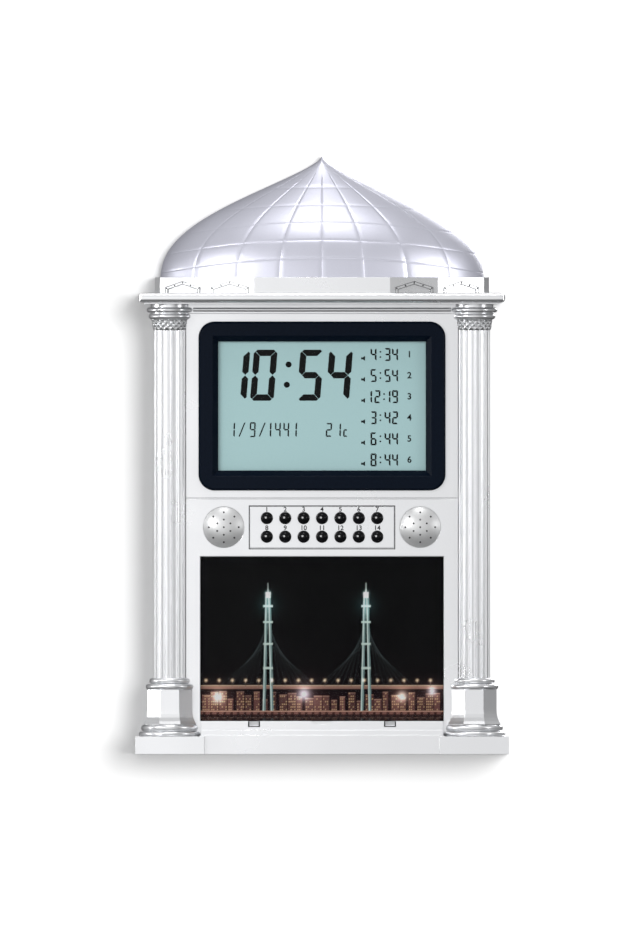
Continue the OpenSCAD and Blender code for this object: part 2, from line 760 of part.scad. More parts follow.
recess_lead = 0.3;
turn_gap = 0.4;
recess_d = recess_lead + cover_sheet_t + turn_gap + card_t;
recess_wall = 1.6;
trunnion_r = 0.5;
trunnion_l = 1.6;
pin_z = picture_top_z - picture_clearance - cover_sheet_t / 2 - 0.2;
pin_d = recess_lead + cover_sheet_t / 2;
lens_edge = 3;
spigot_wall = 2.4;
fit_gap = 0.1;
spigot_w = view_w + 2 * (lens_edge + spigot_wall);
spigot_h = view_h + 2 * (lens_edge + spigot_wall);
panel_w_lcd = view_w + 2 * glass_edge;
panel_h_lcd = view_h + 2 * glass_edge;
speaker_d0 = wall + 2.2;
collar_r = cap_r + 1.2;
pilot_gap = 0.05;
boss_r = 3.6;
boss_x = body_half - wall - boss_r - 0.8;
boss_zs = [sill_top_z + 15, split_z, body_top_z - 12];
boss_end = seam_d - 2;
screw_l = 12;
post_r = 2.2;
post_screw_r = 0.8;
post_screw_l = 4.5;
key_board_w = frame_w - 1.2;
key_board_h = frame_h + 0.5;
key_post_edge = 2.8;
key_posts = [for (x = [-1, 1], dz = [-1, 1])
    [x * (frame_w / 2 - key_post_edge), frame_z + dz * (frame_h / 2 - key_post_edge)]];
main_post_x = panel_w_lcd / 2 + 6;
main_board_w = 2 * (main_post_x + 2.6);
main_board_h = panel_h_lcd + 8;
main_posts = [for (x = [-1, 1], dz = [-1, 1])
    [x * main_post_x, bezel_z + dz * (main_board_h / 2 - 4)]];
row_z = [frame_z + row_offset, frame_z + row_offset - row_pitch];
button_cols = 7;
jack_nose_r = 4;
jack_y = y_shoulder + 10;

// Place of button i, counted from the left of the upper row
function button_x(i) = (i % button_cols - (button_cols - 1) / 2) * button_pitch;
function button_z(i) = row_z[floor(i / button_cols)];

// A round bar or bore from side to side, from x = a to x = b
module sideways(r, a, b, y, z) {
    translate([a, y, z]) rotate([0, 90, 0]) cylinder(r = r, h = b - a);
}

// Hollow case with the picture's tray, the speakers' collars, posts and screw bosses
module housing_body() {
    difference() {
        translate([0, 0, sill_top_z]) linear_extrude(body_top_z - sill_top_z)
            polygon(body_plan());
        translate([0, 0, sill_top_z - over]) linear_extrude(body_top_z - sill_top_z + 2 * over)
            polygon(body_plan(-wall, over));
    }
    slab(0, recess_d + recess_wall)
        plate(picture_w + 2 * wall, picture_h + wall, sill_top_z + (picture_h + wall) / 2);
    for (s = [-1, 1]) across(speaker_r + 1.2, wall - weld, speaker_d0, s * speaker_x, frame_z);
    for (q = concat(key_posts, main_posts)) across(post_r, wall - weld, board_d, q[0], q[1]);
    for (s = [-1, 1], z = boss_zs)
        across(boss_r, column_inset + column_flat + wall - weld, boss_end, s * boss_x, z);
}

// Everything that is cut from the front of the case
module housing_openings() {
    slab(-over, recess_d)
        plate(picture_w, picture_h + over, sill_top_z + (picture_h - over) / 2);
    slab(-over, wall + over) plate(spigot_w + 2 * fit_gap, spigot_h + 2 * fit_gap, bezel_z);
    for (i = [0 : 2 * button_cols - 1])
        across(button_r + button_clearance, -over, wall + over, button_x(i), button_z(i));
    for (s = [-1, 1]) {
        across(cap_r + fit_gap, -over, wall + over, s * speaker_x, frame_z);
        across(collar_r, wall, speaker_d0 + over, s * speaker_x, frame_z);
    }
    slab(-over, split_depth) plate(2 * face_half + over, split_w, split_z);
    slab(-over, split_depth / 2) difference() {
        plate(frame_w, frame_h, frame_z);
        plate(frame_w - 2 * frame_line, frame_h - 2 * frame_line, frame_z);
    }
}

// Front moulding: face, sides, tray, posts and bosses, open behind, above and below
module front_housing() {
    color("gainsboro") difference() {
        housing_body();
        housing_openings();
        sideways(trunnion_r + pilot_gap, -picture_w / 2 - trunnion_l - fit_gap,
            picture_w / 2 + trunnion_l + fit_gap, y_face + pin_d, pin_z);
        for (q = concat(key_posts, main_posts))
            across(post_screw_r + pilot_gap, board_d - post_screw_l, board_d + over, q[0], q[1]);
        for (s = [-1, 1], z = boss_zs)
            across(screw_r + pilot_gap, boss_end - screw_l, boss_end + over, s * boss_x, z);
        sideways(jack_nose_r + fit_gap, body_half - wall - over, body_half + over, jack_y, jack_z);
    }
}

bay_w = cells * cell_pitch;
bay_z = bezel_z - 9;
door_seat_d = seam_d + cover_t - door_t - 0.05;
back_d = seam_d + cover_t;
leg_gap = 3;
leg_out = 0.7;
leg_pocket_d = leg_t + 1.8;
leg_pocket_wall = 2;
leg_pocket_z0 = leg_pin_z - leg_l - leg_gap;
leg_pocket_z1 = leg_pin_z + 5;
leg_pin_d = back_d - leg_out - leg_t / 2;
head_r = 2.8;
head_h = 1.8;

// The dome's outline from behind, drawn in by inset
module dome_outline(inset) {
    n = 24;
    h = dome_h * 0.96;
    right = [for (i = [0 : n]) [dome_half_at(h * i / n) - inset, dome_z + h * i / n]];
    polygon(concat(right, [for (i = [n : -1 : 0]) [-right[i][0], right[i][1]]]));
}

// The rear cover's outline: plinths, case, cornice, drum and dome, all drawn in alike
module cover_outline() {
    i = cover_inset;
    translate([-column_x - plinth_half + i, i])
        square([2 * (column_x + plinth_half - i), plinth_h - 2 * i]);
    translate([-body_half + i, i]) square([2 * (body_half - i), dome_z - i]);
    translate([-cornice_half + i, cornice_z + i])
        square([2 * (cornice_half - i), cornice_h - 2 * i]);
    translate([-drum_half + i, drum_z]) square([2 * (drum_half - i), drum_h - i]);
    dome_outline(i);
}

// The pocket that the folded leg lies in, grown by grow on every side
module leg_pocket(grow) {
    plate(leg_w + 2 * leg_gap + 2 * grow, leg_pocket_z1 - leg_pocket_z0 + 2 * grow,
        (leg_pocket_z0 + leg_pocket_z1) / 2);
}

// Flat rear cover with the battery bay, the leg's pocket, screw pads and a keyhole
module rear_cover() {
    color("dimgray") difference() {
        union() {
            slab(seam_d, back_d) cover_outline();
            slab(bay_floor_d - bay_wall, seam_d + weld)
                plate(bay_l + 2 * bay_wall, bay_w + 2 * bay_wall, bay_z);
            slab(seam_d - 1.2, seam_d + weld)
                plate(bay_l + 2 * door_rebate + 2, bay_w + 2 * door_rebate + 2, bay_z);
            slab(back_d - leg_pocket_d - leg_pocket_wall, seam_d + weld) leg_pocket(leg_pocket_wall);
            for (s = [-1, 1], z = boss_zs) across(boss_r + 1, boss_end, seam_d + weld, s * boss_x, z);
        }
        slab(bay_floor_d, back_d + over) plate(bay_l, bay_w, bay_z);
        slab(door_seat_d, back_d + over)
            plate(bay_l + 2 * door_rebate, bay_w + 2 * door_rebate, bay_z);
        slab(back_d - leg_pocket_d, back_d + over) leg_pocket(0);
        sideways(leg_pin_r + 0.02, -leg_w / 2 - leg_gap - 1.3, leg_w / 2 + leg_gap + 1.3,
            y_face + leg_pin_d, leg_pin_z);
        for (s = [-1, 1], z = boss_zs) {
            across(screw_r + 0.35, boss_end - over, back_d + over, s * boss_x, z);
            across(head_r + 0.3, back_d - head_h - 0.2, back_d + over, s * boss_x, z);
        }
        across(keyhole_r, seam_d - over, back_d + over, 0, keyhole_z);
        slab(seam_d - over, back_d + over) {
            plate(2 * slot_r, 2 * keyhole_r, keyhole_z + keyhole_r);
            translate([0, keyhole_z + 2 * keyhole_r]) circle(slot_r);
        }
    }
}

// Screws from the rear cover into the case's bosses, each with a cross in its head
module housing_screws() {
    d = back_d - head_h - 0.2;
    color("darkgray") for (s = [-1, 1], z = boss_zs) difference() {
        union() {
            across(head_r, d, d + head_h, s * boss_x, z);
            across(screw_r, boss_end - screw_l + 1, d + weld, s * boss_x, z);
        }
        slab(d + head_h / 2, back_d) {
            plate(3.2, 0.7, z, s * boss_x);
            plate(0.7, 3.2, z, s * boss_x);
        }
    }
}

// Screws through the two circuit boards into the case's posts
module board_screws() {
    color("darkgray") for (q = concat(key_posts, main_posts)) {
        across(1.6, board_back_d, board_back_d + 1.2, q[0], q[1]);
        across(post_screw_r, board_d - post_screw_l + 0.5, board_back_d + weld, q[0], q[1]);
    }
}

// ---- Display -------------------------------------------------------------------------

// The sloping window in the display frame: wide at the front, as wide as the view at the lip
module bevel_window() {
    slope = bevel_w / (bezel_proud + lip_t);
    d0 = -bezel_proud - over;
    d1 = lip_t + weld;
    hx = view_w / 2;
    hz = view_h / 2;
    g0 = slope * (lip_t - d0);
    g1 = slope * (lip_t - d1);
    intersection() {
        translate([0, 0, bezel_z - bezel_h / 2]) linear_extrude(bezel_h) polygon([
            [-hx - g0, y_face + d0], [hx + g0, y_face + d0], [hx + g1, y_face + d1],
            [-hx - g1, y_face + d1]]);
        translate([-bezel_w / 2, 0, bezel_z]) rotate([90, 0, 90]) linear_extrude(bezel_w) polygon([
            [y_face + d0, -hz - g0], [y_face + d0, hz + g0], [y_face + d1, hz + g1],
            [y_face + d1, -hz - g1]]);
    }
}

// Black frame on the face, with a spigot through it that holds the lens
module display_bezel() {
    edge = bezel_proud * 0.4;
    color("midnightblue") difference() {
        union() {
            hull() {
                slab(-bezel_proud, 0) round_plate(bezel_w - 2 * edge, bezel_h - 2 * edge, bezel_z,
                    bezel_r - edge);
                slab(-bezel_proud + edge, 0) round_plate(bezel_w, bezel_h, bezel_z, bezel_r);
            }
            slab(-weld, panel_d) plate(spigot_w, spigot_h, bezel_z);
        }
        bevel_window();
        slab(lip_t, panel_d + over)
            plate(view_w + 2 * (lens_edge + fit_gap), view_h + 2 * (lens_edge + fit_gap), bezel_z);
    }
}

// Clear lens behind the frame's lip
module display_lens() {
    color("lightcyan", 0.4) slab(lip_t, panel_d)
        plate(view_w + 2 * lens_edge, view_h + 2 * lens_edge, bezel_z);
}

// Liquid crystal panel: two glasses, the rear one longer at the foot for its contacts
contact_ledge = 3;
module lcd_panel() {
    color("lightsteelblue") {
        slab(panel_d, panel_d + glass_t / 2 + weld) plate(panel_w_lcd, panel_h_lcd, bezel_z);
        slab(panel_d + glass_t / 2, reflector_d)
            plate(panel_w_lcd, panel_h_lcd - fit_gap, bezel_z + fit_gap / 2);
    }
}

// Reflector behind the panel, short of the contacts
module lcd_reflector() {
    color("white") slab(reflector_d, reflector_d + reflector_t)
        plate(panel_w_lcd, panel_h_lcd - contact_ledge, bezel_z + contact_ledge / 2);
}

strip_w = 2;
strip_z = bezel_z - panel_h_lcd / 2 + contact_ledge / 2;

// Frame that holds the panel and its reflector against the display frame
module lcd_holder() {
    rim = 2.5;
    color("whitesmoke") difference() {
        slab(wall, board_d)
            plate(panel_w_lcd + 2 * rim, panel_h_lcd + 2 * rim, bezel_z);
        slab(wall - over, reflector_d + reflector_t)
            plate(panel_w_lcd + 2 * fit_gap, panel_h_lcd + 2 * fit_gap, bezel_z);
        slab(reflector_d, board_d + over) plate(view_w - 8, view_h - 12, bezel_z);
        slab(reflector_d, board_d + over)
            plate(view_w * 0.9 + 2 * fit_gap, strip_w + 2 * fit_gap, strip_z);
    }
}

// Rubber strip that carries the signals from the board to the panel
module contact_strip() {
    color("hotpink") slab(reflector_d, board_d) plate(view_w * 0.9, strip_w, strip_z);
}

// A circuit board with holes for its screws
module board(w, h, z, posts) {
    color("seagreen") difference() {
        slab(board_d, board_back_d) plate(w, h, z);
        for (q = posts) across(post_screw_r + 0.2, board_d - over, board_back_d + over, q[0], q[1]);
    }
}

module main_board() {
    board(main_board_w, main_board_h, bezel_z, main_posts);
}

module key_board() {
    board(key_board_w, key_board_h, frame_z, key_posts);
}

// Chips, capacitors, crystal and temperature sensor on the back of the main board
module board_components() {
    w = main_board_w;
    h = main_board_h;
    d = board_back_d;
    color("darkslategray") {
        slab(d, d + 1.8) plate(16, 16, bezel_z + h / 4, -w / 7);
        slab(d, d + 1.8) plate(9, 6, bezel_z + h * 0.27, w * 0.09);
        slab(d, d + 1.5) plate(5, 4, bezel_z - h * 0.3, w * 0.23);
    }
    color("goldenrod") for (x = [0.26, 0.33])
        across(2.5, d, d + component_h, x * w, bezel_z + h * 0.3);
    color("silver") slab(d, d + 2) plate(3, 8, bezel_z + h * 0.27, -w * 0.3);
    color("sienna") across(1.2, d, d + 2, w * 0.43, bezel_z - h * 0.37);
}

// Flat cable from the main board to the key board
module ribbon_cable() {
    z0 = frame_z + key_board_h / 2 - 4;
    z1 = bezel_z - main_board_h / 2 + 4;
    color("ivory") slab(board_back_d, board_back_d + 0.3) plate(18, z1 - z0, (z0 + z1) / 2);
}

// ---- Controls ------------------------------------------------------------------------

mat_t = 1;
mat_edge = 4;
flange_r = 3.7;
flange_t = 0.8;
flange_d = wall + 0.1;
stem_r = 1.5;

// Domed button with a flange behind the face and a stem towards its contact
module button(number) {
    i = number - 1;
    x = button_x(i);
    z = button_z(i);
    bottom_d = board_d - button_travel - 0.2;
    ball_r = (button_r * button_r + button_dome_h * button_dome_h) / (2 * button_dome_h);
    color("black") {
        intersection() {
            translate([x, y_face - button_dome_h - 0.2 + ball_r, z]) sphere(ball_r);
            across(button_r, -button_dome_h - over, 0, x, z);
        }
        across(button_r, -0.2 - weld, flange_d + weld, x, z);
        across(flange_r, flange_d, flange_d + flange_t, x, z);
        across(stem_r, flange_d, bottom_d, x, z);
    }
}

// Rubber mat on the key board, open round every stem
module key_mat() {
    w = 2 * (frame_w / 2 - key_post_edge - post_r - 0.3);
    color("dimgray") difference() {
        slab(board_d - mat_t, board_d) plate(w, row_pitch + 2 * mat_edge, (row_z[0] + row_z[1]) / 2);
        for (i = [0 : 2 * button_cols - 1])
            across(stem_r + 0.6, board_d - mat_t - over, board_d + over, button_x(i), button_z(i));
    }
}

// Sound holes: one in the middle, a ring of six and a ring of eight
inner_holes = 6;
outer_holes = 8;
inner_hole_r = cap_r * 0.37;
outer_hole_r = cap_r * 0.73;
sound_holes = concat([[0, 0]],
    [for (i = [0 : inner_holes - 1]) let (a = 90 + i * 360 / inner_holes)
        [inner_hole_r * cos(a), inner_hole_r * sin(a)]],
    [for (i = [0 : outer_holes - 1]) let (a = 90 + i * 360 / outer_holes)
        [outer_hole_r * cos(a), outer_hole_r * sin(a)]]);

// Perforated dome over a speaker, with a flange behind the face
module speaker_cap(side) {
    x = side * speaker_x;
    ball_r = (cap_r * cap_r + cap_h * cap_h) / (2 * cap_h);
    color("silver") difference() {
        union() {
            intersection() {
                translate([x, y_face - cap_h + ball_r, frame_z]) sphere(ball_r);
                across(cap_r, -cap_h - over, 0, x, frame_z);
            }
            across(cap_r, -weld / 2, wall + weld, x, frame_z);
            across(cap_r + 1, wall, wall + 1, x, frame_z);
        }
        intersection() {
            translate([x, y_face - cap_h + ball_r, frame_z]) sphere(ball_r - cap_wall);
            across(cap_r - 2 * cap_wall, -cap_h - over, weld, x, frame_z);
        }
        across(cap_r - 2 * cap_wall, 0, wall + 2 * over, x, frame_z);
        for (q = sound_holes)
            across(sound_hole_r, -cap_h - over, over, x + q[0], frame_z + q[1]);
    }
}

// Speaker: rim, basket and magnet
module speaker(side) {
    x = side * speaker_x;
    rim_t = 1.5;
    magnet_t = 3.5;
    magnet_d = speaker_d0 + speaker_d - magnet_t;
    color("dimgray") {
        across(speaker_r, speaker_d0, speaker_d0 + rim_t, x, frame_z);
        translate([x, y_face + speaker_d0 + rim_t - weld, frame_z]) rotate([-90, 0, 0])
            cylinder(r1 = speaker_r * 0.9, r2 = speaker_r * 0.6,
                h = magnet_d - speaker_d0 - rim_t + 2 * weld);
        across(speaker_r * 0.66, magnet_d, magnet_d + magnet_t, x, frame_z);
    }
}

// ---- Picture -------------------------------------------------------------------------

// Printed card on the floor of the tray
module picture_card() {
    color("black") slab(recess_d - card_t, recess_d)
        plate(picture_w - 2 * picture_clearance, picture_h - picture_clearance,
            sill_top_z + (picture_h - picture_clearance) / 2);
}

// Clear cover that swings on two trunnions at its top, with snap hooks at its foot
module picture_cover() {
    w = picture_w - 2 * picture_clearance;
    z0 = sill_top_z + picture_clearance + fit_gap;
    z1 = pin_z + cover_sheet_t / 2;
    color("lightcyan", 0.4) {
        slab(recess_lead, recess_lead + cover_sheet_t) {
            plate(w, z1 - z0, (z0 + z1) / 2);
            for (x = [-hook_x, hook_x]) plate(hook_w, 2 * hook_l, z0, x);
        }
        sideways(trunnion_r, -w / 2 - trunnion_l + fit_gap, w / 2 + trunnion_l - fit_gap,
            y_face + pin_d, pin_z);
    }
}

// ---- Battery bay and stand -----------------------------------------------------------

// Door in the rear cover's rebate, with three grip ridges
module battery_door() {
    w = bay_l + 2 * door_rebate - 2 * door_clearance;
    h = bay_w + 2 * door_rebate - 2 * door_clearance;
    color("dimgray") difference() {
        slab(door_seat_d, door_seat_d + door_t) plate(w, h, bay_z);
        for (i = [0 : 2])
            slab(door_seat_d + door_t - 0.6, back_d + over) plate(14, 1, bay_z + h / 2 - 5 - 2.5 * i);
    }
}

// A flat contact and a spring for every cell, at the bay's two ends
module battery_contacts() {
    contact_t = 0.4;
    middle_d = bay_floor_d + bay_d / 2;
    color("silver") for (i = [0 : cells - 1])
        let (z = bay_z + (i - (cells - 1) / 2) * cell_pitch) {
            slab(middle_d - 5, middle_d + 5)
                plate(contact_t, 9, z, bay_l / 2 - contact_t / 2);
            slab(middle_d - 5, middle_d + 5)
                plate(contact_t, 9, z, -bay_l / 2 + contact_t / 2);
            translate([-bay_l / 2 + contact_t / 2, y_face + middle_d, z]) rotate([0, 90, 0])
                cylinder(r1 = 3.8, r2 = 2.4, h = 5.5);
        }
}

// Power socket with its pin, its nose in the right side of the case
module power_socket() {
    x1 = body_half - wall;
    color("black") {
        difference() {
            union() {
                translate([x1 - 14, jack_y - 4.6, jack_z - 5.5]) cube([14, 9.2, 11]);
                sideways(jack_nose_r, x1 - weld, body_half - 0.2, jack_y, jack_z);
            }
            sideways(jack_r, x1 - 8, body_half + over, jack_y, jack_z);
        }
        sideways(1, x1 - 8 - weld, x1 + 0.8, jack_y, jack_z);
    }
}

// Folding leg: a plate with a stiffening frame and a knuckle on the pin
module stand_leg() {
    d0 = back_d - leg_out - leg_t;
    z0 = leg_pin_z - leg_l;
    color("dimgray") difference() {
        union() {
            slab(d0, d0 + leg_t) {
                plate(leg_w, leg_l - 6, leg_pin_z - (leg_l - 6) / 2);
                translate([0, z0]) round_foot();
            }
            sideways(leg_t / 2 + 0.3, -leg_w / 2, leg_w / 2, y_face + leg_pin_d, leg_pin_z);
        }
        slab(d0 + leg_t / 2, back_d) plate(leg_w - 10, leg_l - 34, leg_pin_z - leg_l / 2);
        sideways(leg_pin_r + leg_pin_clearance, -leg_w, leg_w, y_face + leg_pin_d, leg_pin_z);
    }
}

// The leg's tip, with its two lower corners rounded
module round_foot() {
    r = 6;
    translate([-leg_w / 2 + r, 0]) square([leg_w - 2 * r, r + weld]);
    for (s = [-1, 1]) translate([s * (leg_w / 2 - r), r]) intersection() {
        circle(r);
        translate([-r, -r]) square([2 * r, r + weld]);
    }
}

module stand_pin() {
    color("darkgray") sideways(leg_pin_r, -leg_w / 2 - leg_gap - 1.2, leg_w / 2 + leg_gap + 1.2,
        y_face + leg_pin_d, leg_pin_z);
}

front_housing();
rear_cover();
plinth_base();
cornice();
drum();
dome();
column(-1);  // left_column
column(1);  // right_column
capital(-1);  // left_capital
capital(1);  // right_capital
pedestal(-1);  // left_pedestal
pedestal(1);  // right_pedestal
display_bezel();
display_lens();
lcd_panel();
lcd_reflector();
lcd_holder();
contact_strip();
main_board();
board_components();
key_board();
key_mat();
ribbon_cable();
speaker_cap(-1);  // left_speaker_cap
speaker_cap(1);  // right_speaker_cap
speaker(-1);  // left_speaker
speaker(1);  // right_speaker
picture_card();
picture_cover();
battery_door();
battery_contacts();
power_socket();
stand_leg();
stand_pin();
housing_screws();
board_screws();
button(1);  // button_1
button(2);  // button_2
button(3);  // button_3
button(4);  // button_4
button(5);  // button_5
button(6);  // button_6
button(7);  // button_7
button(8);  // button_8
button(9);  // button_9
button(10);  // button_10
button(11);  // button_11
button(12);  // button_12
button(13);  // button_13
button(14);  // button_14
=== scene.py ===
# %% [markdown]
# # A domed clock in silver plastic
# The clock is already built in exact sizes as a model of named parts. This notebook loads that
# model, gives every part its real finish, and adds what is printed on it: the digits of the
# display, the numbers over the buttons and the night view behind the window. Loading comes
# first, because every later piece is placed by measuring these parts.

# %% Load the measured model
import bpy
import math
import numpy as np
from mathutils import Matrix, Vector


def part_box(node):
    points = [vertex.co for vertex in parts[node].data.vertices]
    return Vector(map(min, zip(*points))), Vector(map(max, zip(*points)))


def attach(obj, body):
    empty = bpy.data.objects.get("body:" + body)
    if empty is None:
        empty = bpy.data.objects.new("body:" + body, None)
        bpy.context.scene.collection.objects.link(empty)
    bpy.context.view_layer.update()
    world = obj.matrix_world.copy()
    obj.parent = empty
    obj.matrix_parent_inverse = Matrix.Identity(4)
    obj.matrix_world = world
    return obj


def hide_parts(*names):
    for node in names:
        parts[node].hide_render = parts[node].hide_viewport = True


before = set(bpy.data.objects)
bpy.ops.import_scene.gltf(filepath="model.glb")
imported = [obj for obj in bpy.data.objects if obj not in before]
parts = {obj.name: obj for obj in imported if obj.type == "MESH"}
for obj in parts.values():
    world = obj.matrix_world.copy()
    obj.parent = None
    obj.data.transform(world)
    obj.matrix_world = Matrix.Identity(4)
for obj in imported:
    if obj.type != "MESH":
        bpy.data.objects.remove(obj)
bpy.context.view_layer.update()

# %% [markdown]
# ## The camera
# The photograph was taken straight from the front from so far off that the columns are upright
# and no side shows. A camera that draws without perspective gives the same view: its field is
# 0.4655 m high. The frame is 621 by 931 pixels, and the clock stands a little to the right of
# its middle, so the camera stands to its left.

# %% Place the camera
field_high, camera_x, camera_z = 0.4655, -0.00575, 0.1444
face_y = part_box("front_housing")[0][1]
camera_data = bpy.data.cameras.new("camera")
camera_data.type = "ORTHO"
camera_data.ortho_scale = field_high
camera = bpy.data.objects.new("camera", camera_data)
bpy.context.collection.objects.link(camera)
camera.location = (camera_x, face_y - 1.0, camera_z)
camera.rotation_euler = (math.pi / 2, 0, 0)
bpy.context.scene.camera = camera
bpy.context.scene.view_settings.view_transform = "Standard"
print("field", field_high, "m high, face at y", round(face_y, 5))

# %% [markdown]
# ## The backdrop
# The clock is photographed against a white sheet just behind it, on which it throws a soft
# shadow. The sheet is one plane. Its material lets every ray through except the camera's own
# from the front, so it takes the shadow but doesn't darken the clock's back.

# %% Make the white sheet
sheet_white, sheet_lift = 0.80, 0.09
sheet_half, sheet_low, sheet_high = 1.5, -1.2, 1.6


def sheet_material():
    """White that adds a little light for the camera, and clear for all other rays and from behind."""
    made = bpy.data.materials.new("white_sheet")
    made.use_nodes = True
    tree = made.node_tree
    link = tree.links.new
    tree.nodes.clear()
    out = tree.nodes.new("ShaderNodeOutputMaterial")
    white = tree.nodes.new("ShaderNodeBsdfDiffuse")
    white.inputs["Color"].default_value = (sheet_white, sheet_white, sheet_white, 1)
    lift = tree.nodes.new("ShaderNodeEmission")
    lift.inputs["Strength"].default_value = sheet_lift
    both = tree.nodes.new("ShaderNodeAddShader")
    clear = tree.nodes.new("ShaderNodeBsdfTransparent")
    ray = tree.nodes.new("ShaderNodeLightPath")
    side = tree.nodes.new("ShaderNodeNewGeometry")
    front = tree.nodes.new("ShaderNodeMath")
    front.operation = "SUBTRACT"
    front.use_clamp = True
    mix = tree.nodes.new("ShaderNodeMixShader")
    link(white.outputs[0], both.inputs[0])
    link(lift.outputs[0], both.inputs[1])
    link(ray.outputs["Is Camera Ray"], front.inputs[0])
    link(side.outputs["Backfacing"], front.inputs[1])
    link(front.outputs[0], mix.inputs[0])
    link(clear.outputs[0], mix.inputs[1])
    link(both.outputs[0], mix.inputs[2])
    link(mix.outputs[0], out.inputs[0])
    return made


def stage_plane(name, corners, material):
    """One four-sided plane that isn't part of the clock; corners run anticlockwise from the front."""
    mesh = bpy.data.meshes.new(name)
    mesh.from_pydata(corners, [], [(0, 1, 2, 3)])
    mesh.materials.append(material)
    plane = bpy.data.objects.new(name, mesh)
    bpy.context.collection.objects.link(plane)
    return plane


back_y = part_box("rear_cover")[1][1] + 0.0005
sheet = stage_plane("sheet", [(-sheet_half, back_y, sheet_low), (sheet_half, back_y, sheet_low),
                              (sheet_half, back_y, sheet_high), (-sheet_half, back_y, sheet_high)],
                    sheet_material())
print("sheet at y", round(back_y, 4))

# %% [markdown]
# ## The light
# Sprayed silver shows its lamps as highlights, so each lamp is a panel with a size and a place.
# The clock is lit by a panel from the upper left, one from above that puts the shade under the
# cornice, a weaker one from the right, and a small one level with the face on the left, which
# shows as the grey strip in the display's bevel. A panel behind lights the back for views from
# there. A dim panel stands straight ahead of the left half only: flat faces mirror it softly, so
# they fade from left to right. The gleam on each black button comes from a bright panel that
# lights the buttons only. The soft shadow on the sheet falls to the lower left, so it has a sun
# of its own from the upper right that lights nothing but the sheet.

# %% Hang the lamps
def turned_to(way):
    """The turn about x, y and z that makes a lamp shine along way."""
    return (math.atan2(math.hypot(way[0], way[1]), -way[2]), 0, math.atan2(way[1], way[0]) - math.pi / 2)


def panel_lamp(name, place, target, size, watts):
    """A square area lamp at place that points at target."""
    data = bpy.data.lights.new(name, "AREA")
    data.size = size
    data.energy = watts
    lamp = bpy.data.objects.new(name, data)
    bpy.context.collection.objects.link(lamp)
    lamp.location = place
    lamp.rotation_euler = turned_to(np.array(target) - np.array(place))
    return lamp


def sun_lamp(name, direction, strength, spread):
    """A sun that shines along direction, with a disc spread degrees wide."""
    data = bpy.data.lights.new(name, "SUN")
    data.energy = strength
    data.angle = math.radians(spread)
    lamp = bpy.data.objects.new(name, data)
    bpy.context.collection.objects.link(lamp)
    lamp.rotation_euler = turned_to(direction)
    return lamp


def link_light(lamp, state, objects):
    """Makes a lamp light only these objects (INCLUDE) or everything but them (EXCLUDE)."""
    lit = bpy.data.collections.new(lamp.name + "_lit")
    for i, one in enumerate(objects):
        lit.objects.link(one)
        lit.collection_objects[i].light_linking.link_state = state
    lamp.light_linking.receiver_collection = lit


middle = (0, 0, 0.15)
shadow_sun = sun_lamp("shadow_sun", (-0.35, 1.0, -0.12), 2.6, 25)
key_panel = panel_lamp("key_panel", (-1.05, -1.05, 0.55), middle, 0.45, 9)
top_panel = panel_lamp("top_panel", (0.0, -0.60, 2.0), middle, 0.6, 9)
right_panel = panel_lamp("right_panel", (1.50, -0.85, 0.40), middle, 0.45, 4)
side_panel = panel_lamp("side_panel", (-1.5, -0.10, 0.20), middle, 0.3, 4)
soft_front = panel_lamp("soft_front", (-0.26, -0.60, 0.15), (-0.26, 0, 0.15), 0.5, 0.27)
soft_front.visible_camera = False
spark_panel = panel_lamp("spark_panel", (-0.75, -2.0, 0.50), middle, 1.2, 260)
back_panel = panel_lamp("back_panel", (0.6, 1.6, 0.9), middle, 1.0, 16)
button_count = 14
button_names = [f"button_{i + 1}" for i in range(button_count)]
link_light(shadow_sun, "INCLUDE", [sheet])
link_light(spark_panel, "INCLUDE", [parts[name] for name in button_names])
for lamp in (key_panel, top_panel, right_panel, side_panel, back_panel, soft_front):
    link_light(lamp, "EXCLUDE", [sheet])

# %% [markdown]
# ## The room
# The world is white where the camera sees it. As light it is dim and even, so that the lamps
# shape the clock. In reflections it is bright ahead and overhead, weaker on both sides, and
# dark between these, below and behind, so every rounded moulding runs from white into a dark
# line and back, as sprayed silver does.

# %% Light the world
def ramped(tree, source, low, high, top):
    """A value that rises smoothly from 0 to top while source goes from low to high."""
    node = tree.nodes.new("ShaderNodeMapRange")
    node.interpolation_type = "SMOOTHSTEP"
    node.inputs["From Min"].default_value = low
    node.inputs["From Max"].default_value = high
    node.inputs["To Max"].default_value = top
    tree.links.new(source, node.inputs["Value"])
    return node.outputs[0]


def maths(tree, operation, first, second):
    """One maths node; second is a socket or a number."""
    node = tree.nodes.new("ShaderNodeMath")
    node.operation = operation
    tree.links.new(first, node.inputs[0])
    if isinstance(second, (int, float)):
        node.inputs[1].default_value = second
    else:
        tree.links.new(second, node.inputs[1])
    return node.outputs[0]


least_gloss, even_light = 0.05, 0.55
world = bpy.data.worlds.new("studio")
bpy.context.scene.world = world
world.use_nodes = True
tree = world.node_tree
background = tree.nodes["Background"]
background.inputs["Color"].default_value = (1, 1, 1, 1)
ray = tree.nodes.new("ShaderNodeLightPath")
way = tree.nodes.new("ShaderNodeTexCoord")
parted = tree.nodes.new("ShaderNodeSeparateXYZ")
tree.links.new(way.outputs["Generated"], parted.inputs[0])
ahead = maths(tree, "MULTIPLY", parted.outputs["Y"], -1.0)
in_front = ramped(tree, ahead, 0.69, 0.99, 0.84)
not_below = ramped(tree, parted.outputs["Z"], -0.68, -0.18, 1.0)
on_left = ramped(tree, maths(tree, "MULTIPLY", parted.outputs["X"], -1.0), 0.50, 0.90, 0.22)
on_right = ramped(tree, parted.outputs["X"], 0.50, 0.90, 0.22)
around = maths(tree, "ADD", maths(tree, "ADD", on_left, on_right), in_front)
above = ramped(tree, parted.outputs["Z"], 0.30, 0.90, 0.55)
all_round = maths(tree, "ADD", maths(tree, "MULTIPLY", around, not_below), above)
